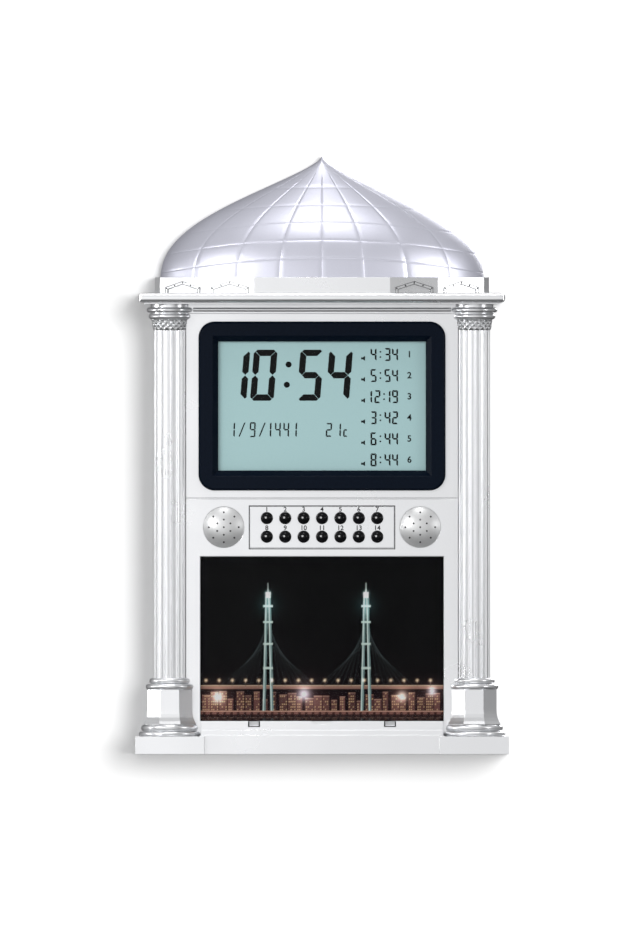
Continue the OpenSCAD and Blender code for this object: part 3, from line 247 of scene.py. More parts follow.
sheen = maths(tree, "ADD", all_round, least_gloss)
in_gloss = maths(tree, "MULTIPLY", sheen, ray.outputs["Is Glossy Ray"])
seen = maths(tree, "MAXIMUM", ray.outputs["Is Camera Ray"], ray.outputs["Is Transmission Ray"])
level = maths(tree, "MAXIMUM", maths(tree, "MAXIMUM", in_gloss, seen), least_gloss)
even = maths(tree, "MULTIPLY", ray.outputs["Is Diffuse Ray"], even_light)
tree.links.new(maths(tree, "MAXIMUM", level, even), background.inputs["Strength"])
print("world 1 for the camera, from", least_gloss, "in reflections,", even_light, "as light")

# %% [markdown]
# ## Effects that several finishes share
# Moulded and painted plastic is never quite even. Two effects are built once as node groups:
# a fine grain, for flakes and moulding texture, and slow clouds, for handling marks that change
# the gloss. Each group gives values only; the shader stays in the material that uses it.

# %% Build the grain and cloud groups
def noise_group(name, detail):
    """A group with a Scale input whose Value output is noise on the part's own coordinates, 0 to 1."""
    group = bpy.data.node_groups.new(name, "ShaderNodeTree")
    group.interface.new_socket("Scale", in_out="INPUT", socket_type="NodeSocketFloat")
    group.interface.new_socket("Value", in_out="OUTPUT", socket_type="NodeSocketFloat")
    start = group.nodes.new("NodeGroupInput")
    end = group.nodes.new("NodeGroupOutput")
    place = group.nodes.new("ShaderNodeTexCoord")
    noise = group.nodes.new("ShaderNodeTexNoise")
    noise.inputs["Detail"].default_value = detail
    group.links.new(place.outputs["Object"], noise.inputs["Vector"])
    group.links.new(start.outputs["Scale"], noise.inputs["Scale"])
    group.links.new(noise.outputs[0], end.inputs["Value"])
    return group


def textured(tree, group, scale):
    """The value of a noise group at this scale, in a material's tree."""
    node = tree.nodes.new("ShaderNodeGroup")
    node.node_tree = group
    node.inputs["Scale"].default_value = scale
    return node.outputs[0]


def evenly(tree, source, low, high, first, last):
    """A value that runs evenly from first to last while source goes from low to high."""
    node = tree.nodes.new("ShaderNodeMapRange")
    for socket, value in zip(("From Min", "From Max", "To Min", "To Max"), (low, high, first, last)):
        node.inputs[socket].default_value = value
    tree.links.new(source, node.inputs["Value"])
    return node.outputs[0]


grain = noise_group("fine_grain", 2.0)
clouds = noise_group("slow_clouds", 4.0)
print("groups", grain.name, clouds.name)

# %% [markdown]
# ## One recipe for every opaque finish
# All the plastics, the rubber, the boards and the metal use the same recipe with other values:
# two close colours mixed by the grain, a gloss that drifts with the clouds, and, where bump isn't
# 0, a bump from the grain. A rounded normal at the edges stands for the small radius that every
# moulding has.

# %% Write the finish recipe
grain_depth, cloud_scale, edge_samples = 0.00005, 35, 8
noise_low, noise_high = 0.3, 0.7


def finish(name, colour, other, grain_scale, rough, bump, metal=0.0, edge=0.0003, shine=0.5):
    """A material that mixes colour and other by grain; rough is its lowest and highest roughness."""
    made = bpy.data.materials.new(name)
    made.use_nodes = True
    tree = made.node_tree
    link = tree.links.new
    shader = tree.nodes["Principled BSDF"]
    shader.inputs["Metallic"].default_value = metal
    shader.inputs["Specular IOR Level"].default_value = shine
    speck = textured(tree, grain, grain_scale)
    drift = textured(tree, clouds, cloud_scale)
    mix = tree.nodes.new("ShaderNodeMix")
    mix.data_type = "RGBA"
    mix.inputs[6].default_value = (*colour, 1)
    mix.inputs[7].default_value = (*other, 1)
    link(evenly(tree, speck, noise_low, noise_high, 0.0, 1.0), mix.inputs[0])
    link(mix.outputs[2], shader.inputs["Base Color"])
    level = evenly(tree, drift, noise_low, noise_high, *rough)
    link(level, shader.inputs["Roughness"])
    round_edge = tree.nodes.new("ShaderNodeBevel")
    round_edge.samples = edge_samples
    round_edge.inputs["Radius"].default_value = edge
    facing = round_edge.outputs[0]
    if bump:
        relief = tree.nodes.new("ShaderNodeBump")
        relief.inputs["Strength"].default_value = bump
        relief.inputs["Distance"].default_value = grain_depth
        link(speck, relief.inputs["Height"])
        link(facing, relief.inputs["Normal"])
        facing = relief.outputs[0]
    link(facing, shader.inputs["Normal"])
    return made


def dress(material, *names):
    """Gives a material to whole parts, by name."""
    for name in names:
        for place in parts[name].material_slots:
            place.link = "OBJECT"
            place.material = material
    print(material.name, "on", len(names), "parts")


# %% [markdown]
# ## Silver paint
# The whole front is plastic sprayed with silver: tiny bright flakes in a clear binder. It isn't
# bare metal, so it is a little less than fully metallic, and rough enough to blur what it
# mirrors. The dome's coat is bluer, and darker as painted shade for its curved surface; the
# speaker caps are the most matt, so that each shows a broad sheen and not a spot.

# %% Paint the housing and its mouldings
silver = finish("silver_paint", (0.81, 0.82, 0.84), (0.85, 0.855, 0.87), 5200, (0.26, 0.33), 0.0,
                metal=0.85)
# The dome's darker colour is painted shade; its blue tint is its own.
dome_silver = finish("dome_silver", (0.58, 0.585, 0.67), (0.64, 0.645, 0.73), 5200, (0.38, 0.46), 0.0,
                     metal=0.75, edge=0.0001)
cap_silver = finish("cap_silver", (0.70, 0.705, 0.71), (0.76, 0.765, 0.77), 5200, (0.40, 0.48), 0.0,
                    metal=0.65, edge=0.0001)
dress(silver, "front_housing", "plinth_base", "cornice", "drum", "left_column",
      "right_column", "left_capital", "right_capital", "left_pedestal", "right_pedestal",
      "dome")
dress(cap_silver, "left_speaker_cap", "right_speaker_cap")

# %% [markdown]
# ## Plastics, rubber, boards and metal
# The back is bare grey plastic with a fine spark-eroded texture. The display's frame is gloss
# black with a hint of blue. Inside are white plastic, green boards, rubber and plated steel;
# they show only when the battery door or the picture cover is open, but they are finished too.

# %% Finish the plain parts
back_grey = finish("grey_back", (0.40, 0.41, 0.43), (0.46, 0.47, 0.49), 2600, (0.5, 0.6), 0.5)
frame_black = finish("black_frame", (0.0015, 0.004, 0.010), (0.0025, 0.006, 0.014), 1800,
                     (0.14, 0.22), 0.02, edge=0.0004, shine=0.06)
white_plastic = finish("white_plastic", (0.72, 0.72, 0.70), (0.80, 0.80, 0.78), 1500, (0.4, 0.5), 0.15)
rubber = finish("soft_rubber", (0.06, 0.06, 0.065), (0.09, 0.09, 0.095), 1800, (0.6, 0.75), 0.3)
board_green = finish("circuit_board", (0.008, 0.07, 0.03), (0.012, 0.10, 0.045), 900, (0.3, 0.42), 0.1)
chip_black = finish("electronics", (0.012, 0.012, 0.013), (0.02, 0.02, 0.021), 1500, (0.45, 0.6), 0.2)
cable_cream = finish("flat_cable", (0.68, 0.66, 0.58), (0.74, 0.72, 0.64), 700, (0.4, 0.5), 0.1)
cone_black = finish("speaker_black", (0.015, 0.015, 0.016), (0.03, 0.03, 0.032), 1300, (0.55, 0.7), 0.3)
plated = finish("contact_metal", (0.56, 0.56, 0.54), (0.66, 0.66, 0.64), 1200, (0.2, 0.32), 0.1, metal=1.0)
screw_steel = finish("steel", (0.42, 0.42, 0.43), (0.52, 0.52, 0.53), 1500, (0.28, 0.4), 0.15, metal=1.0)
socket_black = finish("socket_black", (0.012, 0.012, 0.012), (0.02, 0.02, 0.02), 1600, (0.4, 0.55), 0.2)
dress(back_grey, "rear_cover", "battery_door", "stand_leg")
dress(frame_black, "display_bezel")
dress(white_plastic, "lcd_holder", "lcd_reflector")
dress(rubber, "contact_strip", "key_mat")
dress(board_green, "main_board", "key_board")
dress(chip_black, "board_components")
dress(cable_cream, "ribbon_cable")
dress(cone_black, "left_speaker", "right_speaker")
dress(plated, "battery_contacts")
dress(screw_steel, "stand_pin", "housing_screws", "board_screws")
dress(socket_black, "power_socket")

# %% [markdown]
# ## The buttons
# The domed buttons are gloss black, and each shows a small sharp highlight. A low roughness
# does that, with only the faintest grain.

# %% Finish the buttons
button_gloss = finish("button_black", (0.0008, 0.0008, 0.0010), (0.0012, 0.0012, 0.0014), 1200,
                      (0.08, 0.12), 0.02, edge=0.0001, shine=0.12)
dress(button_gloss, *button_names)

# %% [markdown]
# ## Clear sheets
# The display lens and the picture cover are clear plastic. Light has to reach what lies behind
# them, so they are mostly see-through by Alpha, and keep a sharp gloss for reflections. Their
# upright rims are less clear, as the cut sides of a sheet are, so the open cover can be seen.

# %% Make the clear plastic
rim_opaque, rim_inner, rim_outer = 0.55, 0.0012, 0.0008


def clear_plastic(name, see, rough, node):
    """A nearly clear gloss sheet, opaque by the share see, more so on the node's upright rims."""
    made = bpy.data.materials.new(name)
    made.use_nodes = True
    tree = made.node_tree
    shader = tree.nodes["Principled BSDF"]
    shader.inputs["Specular IOR Level"].default_value = 0.2
    shader.inputs["Base Color"].default_value = (0.01, 0.012, 0.014, 1)
    drift = textured(tree, clouds, 40)
    tree.links.new(evenly(tree, drift, 0.0, 1.0, rough, rough * 2.5), shader.inputs["Roughness"])
    place = tree.nodes.new("ShaderNodeTexCoord")
    parted = tree.nodes.new("ShaderNodeSeparateXYZ")
    tree.links.new(place.outputs["Object"], parted.inputs[0])
    half_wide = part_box(node)[1][0]
    from_middle = maths(tree, "ABSOLUTE", parted.outputs["X"], 0.0)
    rim = ramped(tree, from_middle, half_wide - rim_inner, half_wide - rim_outer, rim_opaque)
    tree.links.new(maths(tree, "MAXIMUM", rim, see), shader.inputs["Alpha"])
    return made


lens_clear = clear_plastic("display_clear", 0.06, 0.04, "display_lens")
cover_clear = clear_plastic("cover_clear", 0.10, 0.04, "picture_cover")
dress(lens_clear, "display_lens")
dress(cover_clear, "picture_cover")

# %% [markdown]
# ## The liquid crystal panel
# An unlit display is a pale teal with a very fine silvery grain from the reflector behind it.
# Its bottom right is darkened a little as painted shade, so the top left looks lighter.

# %% Colour the panel
full_shade_at, no_shade_at = 0.09, 0.26


def display_teal():
    """Teal, multiplied by a painted shade of 0.96 that grows as z - x falls from no_shade_at to
    full_shade_at.
    """
    made = finish("lcd_glass", (0.415, 0.635, 0.65), (0.44, 0.66, 0.665), 4200, (0.45, 0.55), 0.05)
    tree = made.node_tree
    shader = tree.nodes["Principled BSDF"]
    base = shader.inputs["Base Color"].links[0].from_socket
    place = tree.nodes.new("ShaderNodeTexCoord")
    parted = tree.nodes.new("ShaderNodeSeparateXYZ")
    # The tint is painted shade that darkens the bottom right of the panel.
    tint = tree.nodes.new("ShaderNodeMix")
    tint.data_type = "RGBA"
    tint.blend_type = "MULTIPLY"
    tint.inputs[7].default_value = (0.96, 0.95, 0.96, 1)
    tree.links.new(place.outputs["Object"], parted.inputs[0])
    slope = maths(tree, "SUBTRACT", parted.outputs["Z"], parted.outputs["X"])
    tree.links.new(evenly(tree, slope, full_shade_at, no_shade_at, 1.0, 0.0), tint.inputs[0])
    tree.links.new(base, tint.inputs[6])
    tree.links.new(tint.outputs[2], shader.inputs["Base Color"])
    return made


display_teal_made = display_teal()
dress(display_teal_made, "lcd_panel")

# %% [markdown]
# ## Printed shapes
# Digits and symbols are thin flat prisms. An outline is given in x and z, anticlockwise as seen
# from the front; its copy behind it and the walls between close the shape.

# %% Make prisms from outlines
def prisms(outlines, front, back):
    """Closed prisms: every outline at y = front and again at y = back, joined by walls."""
    points, faces, start = [], [], 0
    for outline in outlines:
        flat = np.asarray(outline, float)
        n = len(flat)
        near = np.column_stack([flat[:, 0], np.full(n, front), flat[:, 1]])
        far = np.column_stack([flat[:, 0], np.full(n, back), flat[:, 1]])
        points += [near, far]
        faces.append(tuple(range(start, start + n)))
        faces.append(tuple(range(start + 2 * n - 1, start + n - 1, -1)))
        this = np.arange(start, start + n)
        following = np.roll(this, -1)
        faces += np.stack([this, this + n, following + n, following], -1).tolist()
        start += 2 * n
    return np.vstack(points), faces


def piece(name, points, faces, material, body):
    """A mesh object from points and faces that rides on a body and takes the finish of a slot."""
    mesh = bpy.data.meshes.new(name)
    mesh.from_pydata(np.asarray(points).tolist(), [], faces)
    mesh.materials.append(material)
    mesh.validate()
    made = bpy.data.objects.new(name, mesh)
    bpy.context.collection.objects.link(made)
    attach(made, body)
    print(name, len(mesh.vertices), "vertices")
    return made


# %% [markdown]
# ## A smooth dome
# The measured dome is made of flat facets between its joint lines. Here the same surface is
# worked out on a finer grid, closer together at the joints, and shaded smooth. At height h over
# the foot, with t = h / 60.5 mm, the half-width is w(h) = 80.8 (0.94 (1 - t^2.4)^1.55 +
# 0.06 (1 - t)). A level cut is half an ellipse that reaches 3 mm out at the tip and the whole
# depth at the foot. The courses of panels sink towards the sides by 0.0012 x^2.

# %% Work out the dome's points
dome_low, dome_high = [np.array(corner) * 1000 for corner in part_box("dome")]
foot_half = (dome_high[0] - dome_low[0]) / 2
foot_deep, tip_deep = dome_high[1] - dome_low[1], 3.0
tall = dome_high[2] - dome_low[2]
panel_wide, first_course, course_step, sink = 21.4, 9.8, 8.8, 0.0012
line_wide, line_deep = 0.60, 0.11
even_tip, fade_tip, rounds = 4.3, 6, 6


def half_width(h):
    """Half-width of the dome at height h, in mm."""
    t = np.clip(h / tall, 0, 1)
    return foot_half * (0.94 * (1 - t ** 2.4) ** 1.55 + 0.06 * (1 - t))


def stations(lines, low, high, between):
    """Grid values from low to high: five across each joint line and some evenly between them."""
    across = np.array([-0.5, -0.25, 0, 0.25, 0.5]) * line_wide
    close = np.concatenate([line + across for line in lines])
    ends = np.concatenate([[low], close, [high]])
    open_spans = [(ends[i], ends[i + 1]) for i in range(0, len(ends) - 1, 5)]
    spread = [np.linspace(start, end, between + 2)[1:-1] for start, end in open_spans]
    return np.sort(np.concatenate([ends] + spread))


def groove(values, lines):
    """How far the surface sinks at each value: a smooth dip at every line, none elsewhere."""
    far = np.abs(values[:, None] - np.asarray(lines)[None, :]).min(1)
    return line_deep * np.cos(np.clip(far / (line_wide / 2), 0, 1) * np.pi / 2) ** 2


joint_x = np.arange(-3, 4) * panel_wide
joint_h = first_course + course_step * np.arange(int((tall - first_course) / course_step))
last_even = 67
turn = np.concatenate([-90 + (90 - last_even) * np.linspace(0, 1, 9)[:-1],
                       np.linspace(last_even, 90, 9)[1:]])
even_ends = foot_half * np.sin(np.radians([-last_even, last_even]))
grid_x = np.sort(np.concatenate([stations(joint_x, *even_ends, 8), foot_half * np.sin(np.radians(turn))]))
grid_h = stations(joint_h, 0.0, tall - 0.05, 7)
share, height = np.meshgrid(grid_x / foot_half, grid_h)
dip = np.maximum(groove(grid_x, joint_x)[None, :], groove(grid_h, joint_h)[:, None])
dip *= np.clip((tall - height) / fade_tip, 0, 1)


def dome_surface(inset):
    """Points of the dome's skin, moved in by inset; height and x settle in six rounds."""
    fade = np.clip(height / first_course, 0, 1) * np.clip((tall - even_tip - height) / course_step, 0, 1)
    x = np.zeros_like(share)
    for _ in range(rounds):
        z = height - sink * fade * x * x
        w = half_width(z)
        x = share * np.clip(w - inset, 0, None)
    deep = tip_deep + (foot_deep - tip_deep) * w / foot_half
    y = dome_high[1] - np.clip(deep - inset, 0.2, None) * np.sqrt(np.clip(1 - share ** 2, 0, 1))
    return np.stack([x, y, dome_low[2] + z], -1)


# %% [markdown]
# ## A closed shell
# The skin is a grid of points, and the same grid moved 2 mm in makes the inner side. Quads join
# neighbours on both, and a band round the rim joins the two, so the shell is closed. It takes the
# measured dome's place. A panel lamp from the right lights the dome only, because its duller coat
# would leave that side too dark.

# %% Close the dome and put it in place
shell_thick = 2.0


def closed_shell(outer, inner):
    """Points and faces of a shell between two grids of the same shape, closed round its rim."""
    rows, columns = outer.shape[:2]
    index = np.arange(rows * columns).reshape(rows, columns)
    near = np.stack([index[:-1, :-1], index[:-1, 1:], index[1:, 1:], index[1:, :-1]], -1).reshape(-1, 4)
    rim = np.concatenate([index[0, :], index[1:, -1], index[-1, -2::-1], index[-2:0:-1, 0]])
    following = np.roll(rim, -1)
    n = rows * columns
    walls = np.stack([following, rim, rim + n, following + n], -1)
    faces = np.concatenate([near, near[:, ::-1] + n, walls])
    return np.concatenate([outer.reshape(-1, 3), inner.reshape(-1, 3)]) / 1000, faces


points, faces = closed_shell(dome_surface(dip), dome_surface(shell_thick))
smooth_dome = piece("smooth_dome", points, faces.tolist(), dome_silver, "case")
smooth_dome.data.shade_smooth()
smooth_dome.data.set_sharp_from_angle(angle=math.radians(50))
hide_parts("dome")
dome_panel = panel_lamp("dome_panel", (1.5, -1.0, 0.60), (0, 0, 0.27), 0.8, 11)
link_light(dome_panel, "INCLUDE", [smooth_dome, parts["dome"]])

# %% [markdown]
# ## Seven-segment digits
# Every digit of a display is made of up to seven bars with mitred ends and a hairline gap
# between them. The outlines come from the digit's width, height and bar width; each bar is
# then drawn in by half the gap, and the whole digit leans a little.

# %% Draw a digit's bars
mitre = 0.55
bars_of = {"0": "abcdef", "1": "bc", "2": "abged", "3": "abgcd", "4": "fgbc", "5": "afgcd",
           "6": "afgedc", "7": "abc", "8": "abcdefg", "9": "abcdfg", "c": "ged"}


def drawn_in(outline, d):
    """A convex outline, every side moved in by d: each corner is where two moved sides meet."""
    p = np.asarray(outline, float)
    along = np.roll(p, -1, 0) - p
    along /= np.linalg.norm(along, axis=1)[:, None]
    inward = np.column_stack([-along[:, 1], along[:, 0]])
    before, inward_before = np.roll(along, 1, 0), np.roll(inward, 1, 0)
    start = p + inward * d
    gap = (p + inward_before * d) - start
    cross = along[:, 0] * before[:, 1] - along[:, 1] * before[:, 0]
    move = (gap[:, 0] * before[:, 1] - gap[:, 1] * before[:, 0]) / cross
    return start + along * move[:, None]


def digit(sign, left, low, w, h, t, lean=0.0, gap=0.1):
    """Outlines of one digit in mm: w wide, h high, bars t thick, leaning by lean per mm of height."""
    m, c = h / 2, t * mitre
    shapes = {
        "a": [(c, h), (c / 2, h - c / 2), (t, h - t), (w - t, h - t), (w - c / 2, h - c / 2), (w - c, h)],
        "d": [(c, 0), (w - c, 0), (w - c / 2, c / 2), (w - t, t), (t, t), (c / 2, c / 2)],
        "g": [(t / 2, m), (t, m - t / 2), (w - t, m - t / 2), (w - t / 2, m), (w - t, m + t / 2),
              (t, m + t / 2)],
        "f": [(0, m + t / 2), (t / 2, m), (t, m + t / 2), (t, h - t), (c / 2, h - c / 2), (0, h - c)],
        "e": [(0, c), (c / 2, c / 2), (t, t), (t, m - t / 2), (t / 2, m), (0, m - t / 2)],
        "b": [(w - t, m + t / 2), (w - t / 2, m), (w, m + t / 2), (w, h - c), (w - c / 2, h - c / 2),
              (w - t, h - t)],
        "c": [(w - t, t), (w - c / 2, c / 2), (w, c), (w, m - t / 2), (w - t / 2, m), (w - t, m - t / 2)],
    }
    made = []
    for bar in bars_of[sign]:
        p = drawn_in(shapes[bar], gap / 2)
        made.append(np.column_stack([left + p[:, 0] + lean * (p[:, 1] - m), low + p[:, 1]]))
    return made


def disc(x, z, r, n=20):
    """A round outline: points at even angles, anticlockwise."""
    a = np.arange(n) * 2 * np.pi / n
    return np.column_stack([x + r * np.cos(a), z + r * np.sin(a)])


print("bars of an 8:", len(digit("8", 0, 0, 3, 6, 0.9)))

# %% [markdown]
# ## What the display shows
# The time stands large at the upper left, the date and the temperature below it in small
# digits, and six alarm times in a column on the right, each with a small sound symbol and its
# number. All of it lies in a thin layer just in front of the panel.

# %% Set the digits
glass_low, glass_high = [np.array(corner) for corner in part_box("lcd_panel")]
lens_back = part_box("display_lens")[1][1]
sheet_margin = 0.0005
face_front, face_back = lens_back - 0.00012, lens_back - 0.00008
left, right = glass_low[0] + sheet_margin, glass_high[0] - sheet_margin
bottom, top = glass_low[2] + sheet_margin, glass_high[2] - sheet_margin
whole_face = [(left, bottom), (right, bottom), (right, top), (left, top)]
points, faces = prisms([whole_face], face_front, face_back)
piece("display_face", points, faces, display_teal_made, "case")
digit_front, digit_back = lens_back - 0.00020, lens_back - 0.00014
shown = []
time_low, date_low, degrees_low, slash_low, slash_high = 176.7, 158.5, 158.7, 158.9, 165.8
for sign, left in (("1", -48.75), ("0", -35.1), ("5", -11.85), ("4", 2.6)):
    shown += digit(sign, left, time_low, 12.0, 25.7, 3.35, lean=0.08, gap=0.22)
shown += [disc(-16.7, 194.9, 1.5), disc(-17.6, 184.8, 1.5)]
for sign, left in (("1", -46.5), ("9", -36.2), ("1", -28.3), ("4", -23.6), ("4", -19.4), ("1", -15.5)):
    shown += digit(sign, left, date_low, 3.0, 7.6, 0.8, lean=0.03, gap=0.12)
for x in (-40.0, -29.9):
    shown.append([(x - 1.7, slash_low), (x - 1.1, slash_low), (x + 1.7, slash_high),
                  (x + 1.1, slash_high)])
for sign, left, wide in (("2", 1.9, 3.1), ("1", 6.4, 3.1), ("c", 10.6, 2.4)):
    shown += digit(sign, left, degrees_low, wide, 7.0, 0.8, lean=0.03, gap=0.12)
print(len(shown), "bars so far")

# %% [markdown]
# ## The alarm times
# The six alarm times stand in even rows down the right side, with upright digits. An hour of two
# digits pushes its row to the right by a little. The small symbol at the left of each row is a
# loudspeaker seen from the side: a block and a wedge.

# %% Set the alarm times
alarm_times = ("4:34", "5:54", "12:19", "3:42", "6:44", "8:44")
first_row, row_step, small_h, small_w, small_t = 199.9, 10.54, 6.55, 3.1, 0.92
tens_x, hour_x, minute_x, long_hour = 22.0, 24.2, (31.2, 34.95), 1.95
for row, time in enumerate(alarm_times):
    low = first_row - row * row_step - small_h / 2
    hour, minute = time.split(":")
    two = len(hour) == 2
    lefts = [tens_x, hour_x + long_hour] if two else [hour_x]
    for sign, left in zip(hour, lefts):
        shown += digit(sign, left, low, small_w, small_h, small_t, gap=0.12)
    for sign, left in zip(minute, minute_x):
        shown += digit(sign, left, low, small_w, small_h, small_t, gap=0.12)
    colon = 31.0 if two else 29.2
    shown += [disc(colon, low + 2.0, 0.42, 10), disc(colon, low + 4.6, 0.42, 10)]
    z = low + 1.35
    shown += [[(19.6, z - 0.5), (20.4, z - 0.5), (20.4, z + 0.5), (19.6, z + 0.5)],
              [(20.5, z - 0.5), (21.5, z - 1.2), (21.5, z + 1.2), (20.5, z + 0.5)]]
ink = finish("lcd_ink", (0.004, 0.005, 0.005), (0.008, 0.009, 0.009), 2500, (0.4, 0.5), 0.05, shine=0.08)
points, faces = prisms([np.asarray(s) / 1000 for s in shown], digit_front, digit_back)
piece("display_digits", points, faces, ink, "case")

# %% [markdown]
# ## Printed numbers
# Plain numbers stand over the buttons and beside the alarm times. Each is set in Blender's own
# type, turned into a mesh, and placed as points, so that the finished piece sits at the origin.

# %% Set type as a mesh
bolder = 0.018


def type_mesh(words, size, thick):
    """Points and faces of a word, centred on its own box, upright in x and z and thick in y."""
    curve = bpy.data.curves.new("type", "FONT")
    curve.body, curve.size = words, size
    curve.align_x, curve.align_y = "CENTER", "CENTER"
    curve.extrude = thick / 2
    curve.offset = size * bolder
    holder = bpy.data.objects.new("type", curve)
    bpy.context.collection.objects.link(holder)
    mesh = bpy.data.meshes.new_from_object(holder.evaluated_get(bpy.context.evaluated_depsgraph_get()))
    points = np.empty(len(mesh.vertices) * 3)
    mesh.vertices.foreach_get("co", points)
    points = points.reshape(-1, 3)
    faces = [tuple(p.vertices) for p in mesh.polygons]
    bpy.data.objects.remove(holder)
    bpy.data.curves.remove(curve)
    bpy.data.meshes.remove(mesh)
    upright = np.column_stack([points[:, 0], -points[:, 2], points[:, 1]])
    return upright, faces


def set_numbers(name, entries, size, y, thick, material):
    """One piece with a number at every (words, x, z) entry."""
    all_points, all_faces, start = [], [], 0
    for words, x, z in entries:
        points, faces = type_mesh(words, size, thick)
        all_points.append(points + (x, y, z))
        all_faces += [tuple(start + i for i in face) for face in faces]
        start += len(points)
    return piece(name, np.vstack(all_points), all_faces, material, "case")


# %% [markdown]
# ## Where the numbers go
# The buttons' numbers are printed on the face, so they lie a hair in front of it, centred over
# the measured buttons. The alarms' numbers belong to the display and lie with its digits.

# %% Print the numbers
over_button, number_high, alarm_high, print_thick = 0.0043, 0.0033, 0.0044, 0.00006
# This dark grey is real print on the numbers, and painted shade in the hook pockets.
print_and_shade_dark = finish("print_and_shade_grey", (0.012, 0.012, 0.014), (0.025, 0.025, 0.028), 3000, (0.5, 0.6), 0.02,
                    shine=0.05)
centres = [(np.array(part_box(n)[0]) + np.array(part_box(n)[1])) / 2 for n in button_names]
over_buttons = [(str(i + 1), c[0], c[2] + over_button) for i, c in enumerate(centres)]
set_numbers("button_numbers", over_buttons, number_high, face_y - 0.00004, print_thick, print_and_shade_dark)
beside_alarms = [(str(i + 1), 0.0437, (first_row - i * row_step) / 1000) for i in range(6)]
set_numbers("alarm_numbers", beside_alarms, alarm_high, lens_back - 0.00017, print_thick, ink)

# %% [markdown]
# ## Painted shade round the buttons and in the hook pockets
# A thin dark grey line over the groove that frames the buttons is painted shade, and the dark
# outlines in the sill are painted shade in the pockets of the cover's two snap hooks. On the drum,
# hairlines and dots are painted shade on the gable frames. Each line is a narrow prism; those on the drum
# are made flat and then turned onto their facet.

# %% Paint shade in the button frame and the hook pockets
line_front, line_back = 0.00006, 0.00002


def stroke(x0, z0, x1, z1, wide):
    """The outline of a straight line from one point to another, wide mm across."""
    along = np.array([x1 - x0, z1 - z0], float)
    along /= np.linalg.norm(along)
    side = np.array([-along[1], along[0]]) * wide / 2
    start, end = np.array([x0, z0]) - along * wide / 2, np.array([x1, z1]) + along * wide / 2
    return [start - side, end - side, end + side, start + side]


def loop(corners, wide):
    """Strokes from corner to corner all the way round."""
    return [stroke(*a, *b, wide) for a, b in zip(corners, corners[1:] + corners[:1])]


# The line round the buttons is painted shade over the groove of their frame.
frame_half, frame_low, frame_high, frame_line = 36.4, 102.7, 124.2, 0.42
outlines = loop([(-frame_half, frame_low), (frame_half, frame_low), (frame_half, frame_high),
                 (-frame_half, frame_high)], frame_line)
painted_shade_grey = finish("painted_shade_grey", (0.05, 0.05, 0.055), (0.08, 0.08, 0.085), 2500, (0.5, 0.6), 0.02,
                   shine=0.05)
points, faces = prisms([np.array(o) / 1000 for o in outlines], face_y - line_front, face_y - line_back)
piece("painted_groove_shade", points, faces, painted_shade_grey, "case")
# The outlines round the hook pockets are painted shade.
outlines, sill_y = [], face_y - 0.002
hook_x, pocket_half, pocket_foot, pocket_low, pocket_high = 34.0, 2.7, 13.9, 14.3, 16.2
for x in (-hook_x, hook_x):
    left, right = x - pocket_half, x + pocket_half
    outlines += [stroke(left, pocket_low, left, pocket_high, 0.6),
                 stroke(right, pocket_low, right, pocket_high, 0.6),
                 stroke(left, pocket_foot, right, pocket_foot, 0.5)]
points, faces = prisms([np.array(o) / 1000 for o in outlines], sill_y - line_front, sill_y - line_back)
piece("hook_pocket_shade", points, faces, print_and_shade_dark, "case")

# %% [markdown]
# ## The sound holes
# Each speaker cap has one hole in its middle, six round it and eight further out. What is seen
# through a hole is the dark cone behind, in shade, so each hole gets a small black disc just under the
# cap's skin, at the depth of the ball that the cap is cut from: r = (a^2 + h^2) / 2h. The disc
# is partly the cone's own black and partly painted shade in the hole.

# %% Darken the sound holes
cap_r, cap_h, hole_disc_r, hole_disc_deep, ring = 10.2, 3.8, 0.50, 0.08, []
corners_each = 14
for radius, count in ((0.0, 1), (0.37 * cap_r, 6), (0.73 * cap_r, 8)):
    ring += [(radius * math.cos(math.pi / 2 + k * 2 * math.pi / count),
              radius * math.sin(math.pi / 2 + k * 2 * math.pi / count), radius) for k in range(count)]
ball_r = (cap_r ** 2 + cap_h ** 2) / (2 * cap_h)
all_points, all_faces = [], []
for name in ("left_speaker_cap", "right_speaker_cap"):
    centre = (np.array(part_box(name)[0]) + np.array(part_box(name)[1])) * 500
    for x, z, radius in ring:
        y = face_y * 1000 - cap_h + ball_r - math.sqrt(ball_r ** 2 - radius ** 2) + hole_disc_deep
        points, faces = prisms([disc(centre[0] + x, centre[2] + z, hole_disc_r, corners_each)], y, y + 0.1)
        start = len(all_points) * len(points)
        all_faces += [tuple(start + i for i in face) for face in faces]
        all_points.append(points / 1000)
# Black discs: the cone's own colour and painted shade in the holes.
piece("hole_cone_and_shade", np.vstack(all_points), all_faces, cone_black, "case")

# %% [markdown]
# ## Painted shade on the drum's gables
# Two facets on each side of the drum carry a raised gable frame. Painted shade marks it out: two
# dark hairlines along its edges and five dark dots in the band between them. They are drawn once on a
# flat facet, in mm from the facet's middle, then turned by the facet's own angle a: x' = x cos a - y sin
# a, y' = x sin a + y cos a. The left side is the mirror image, so its faces are turned round.

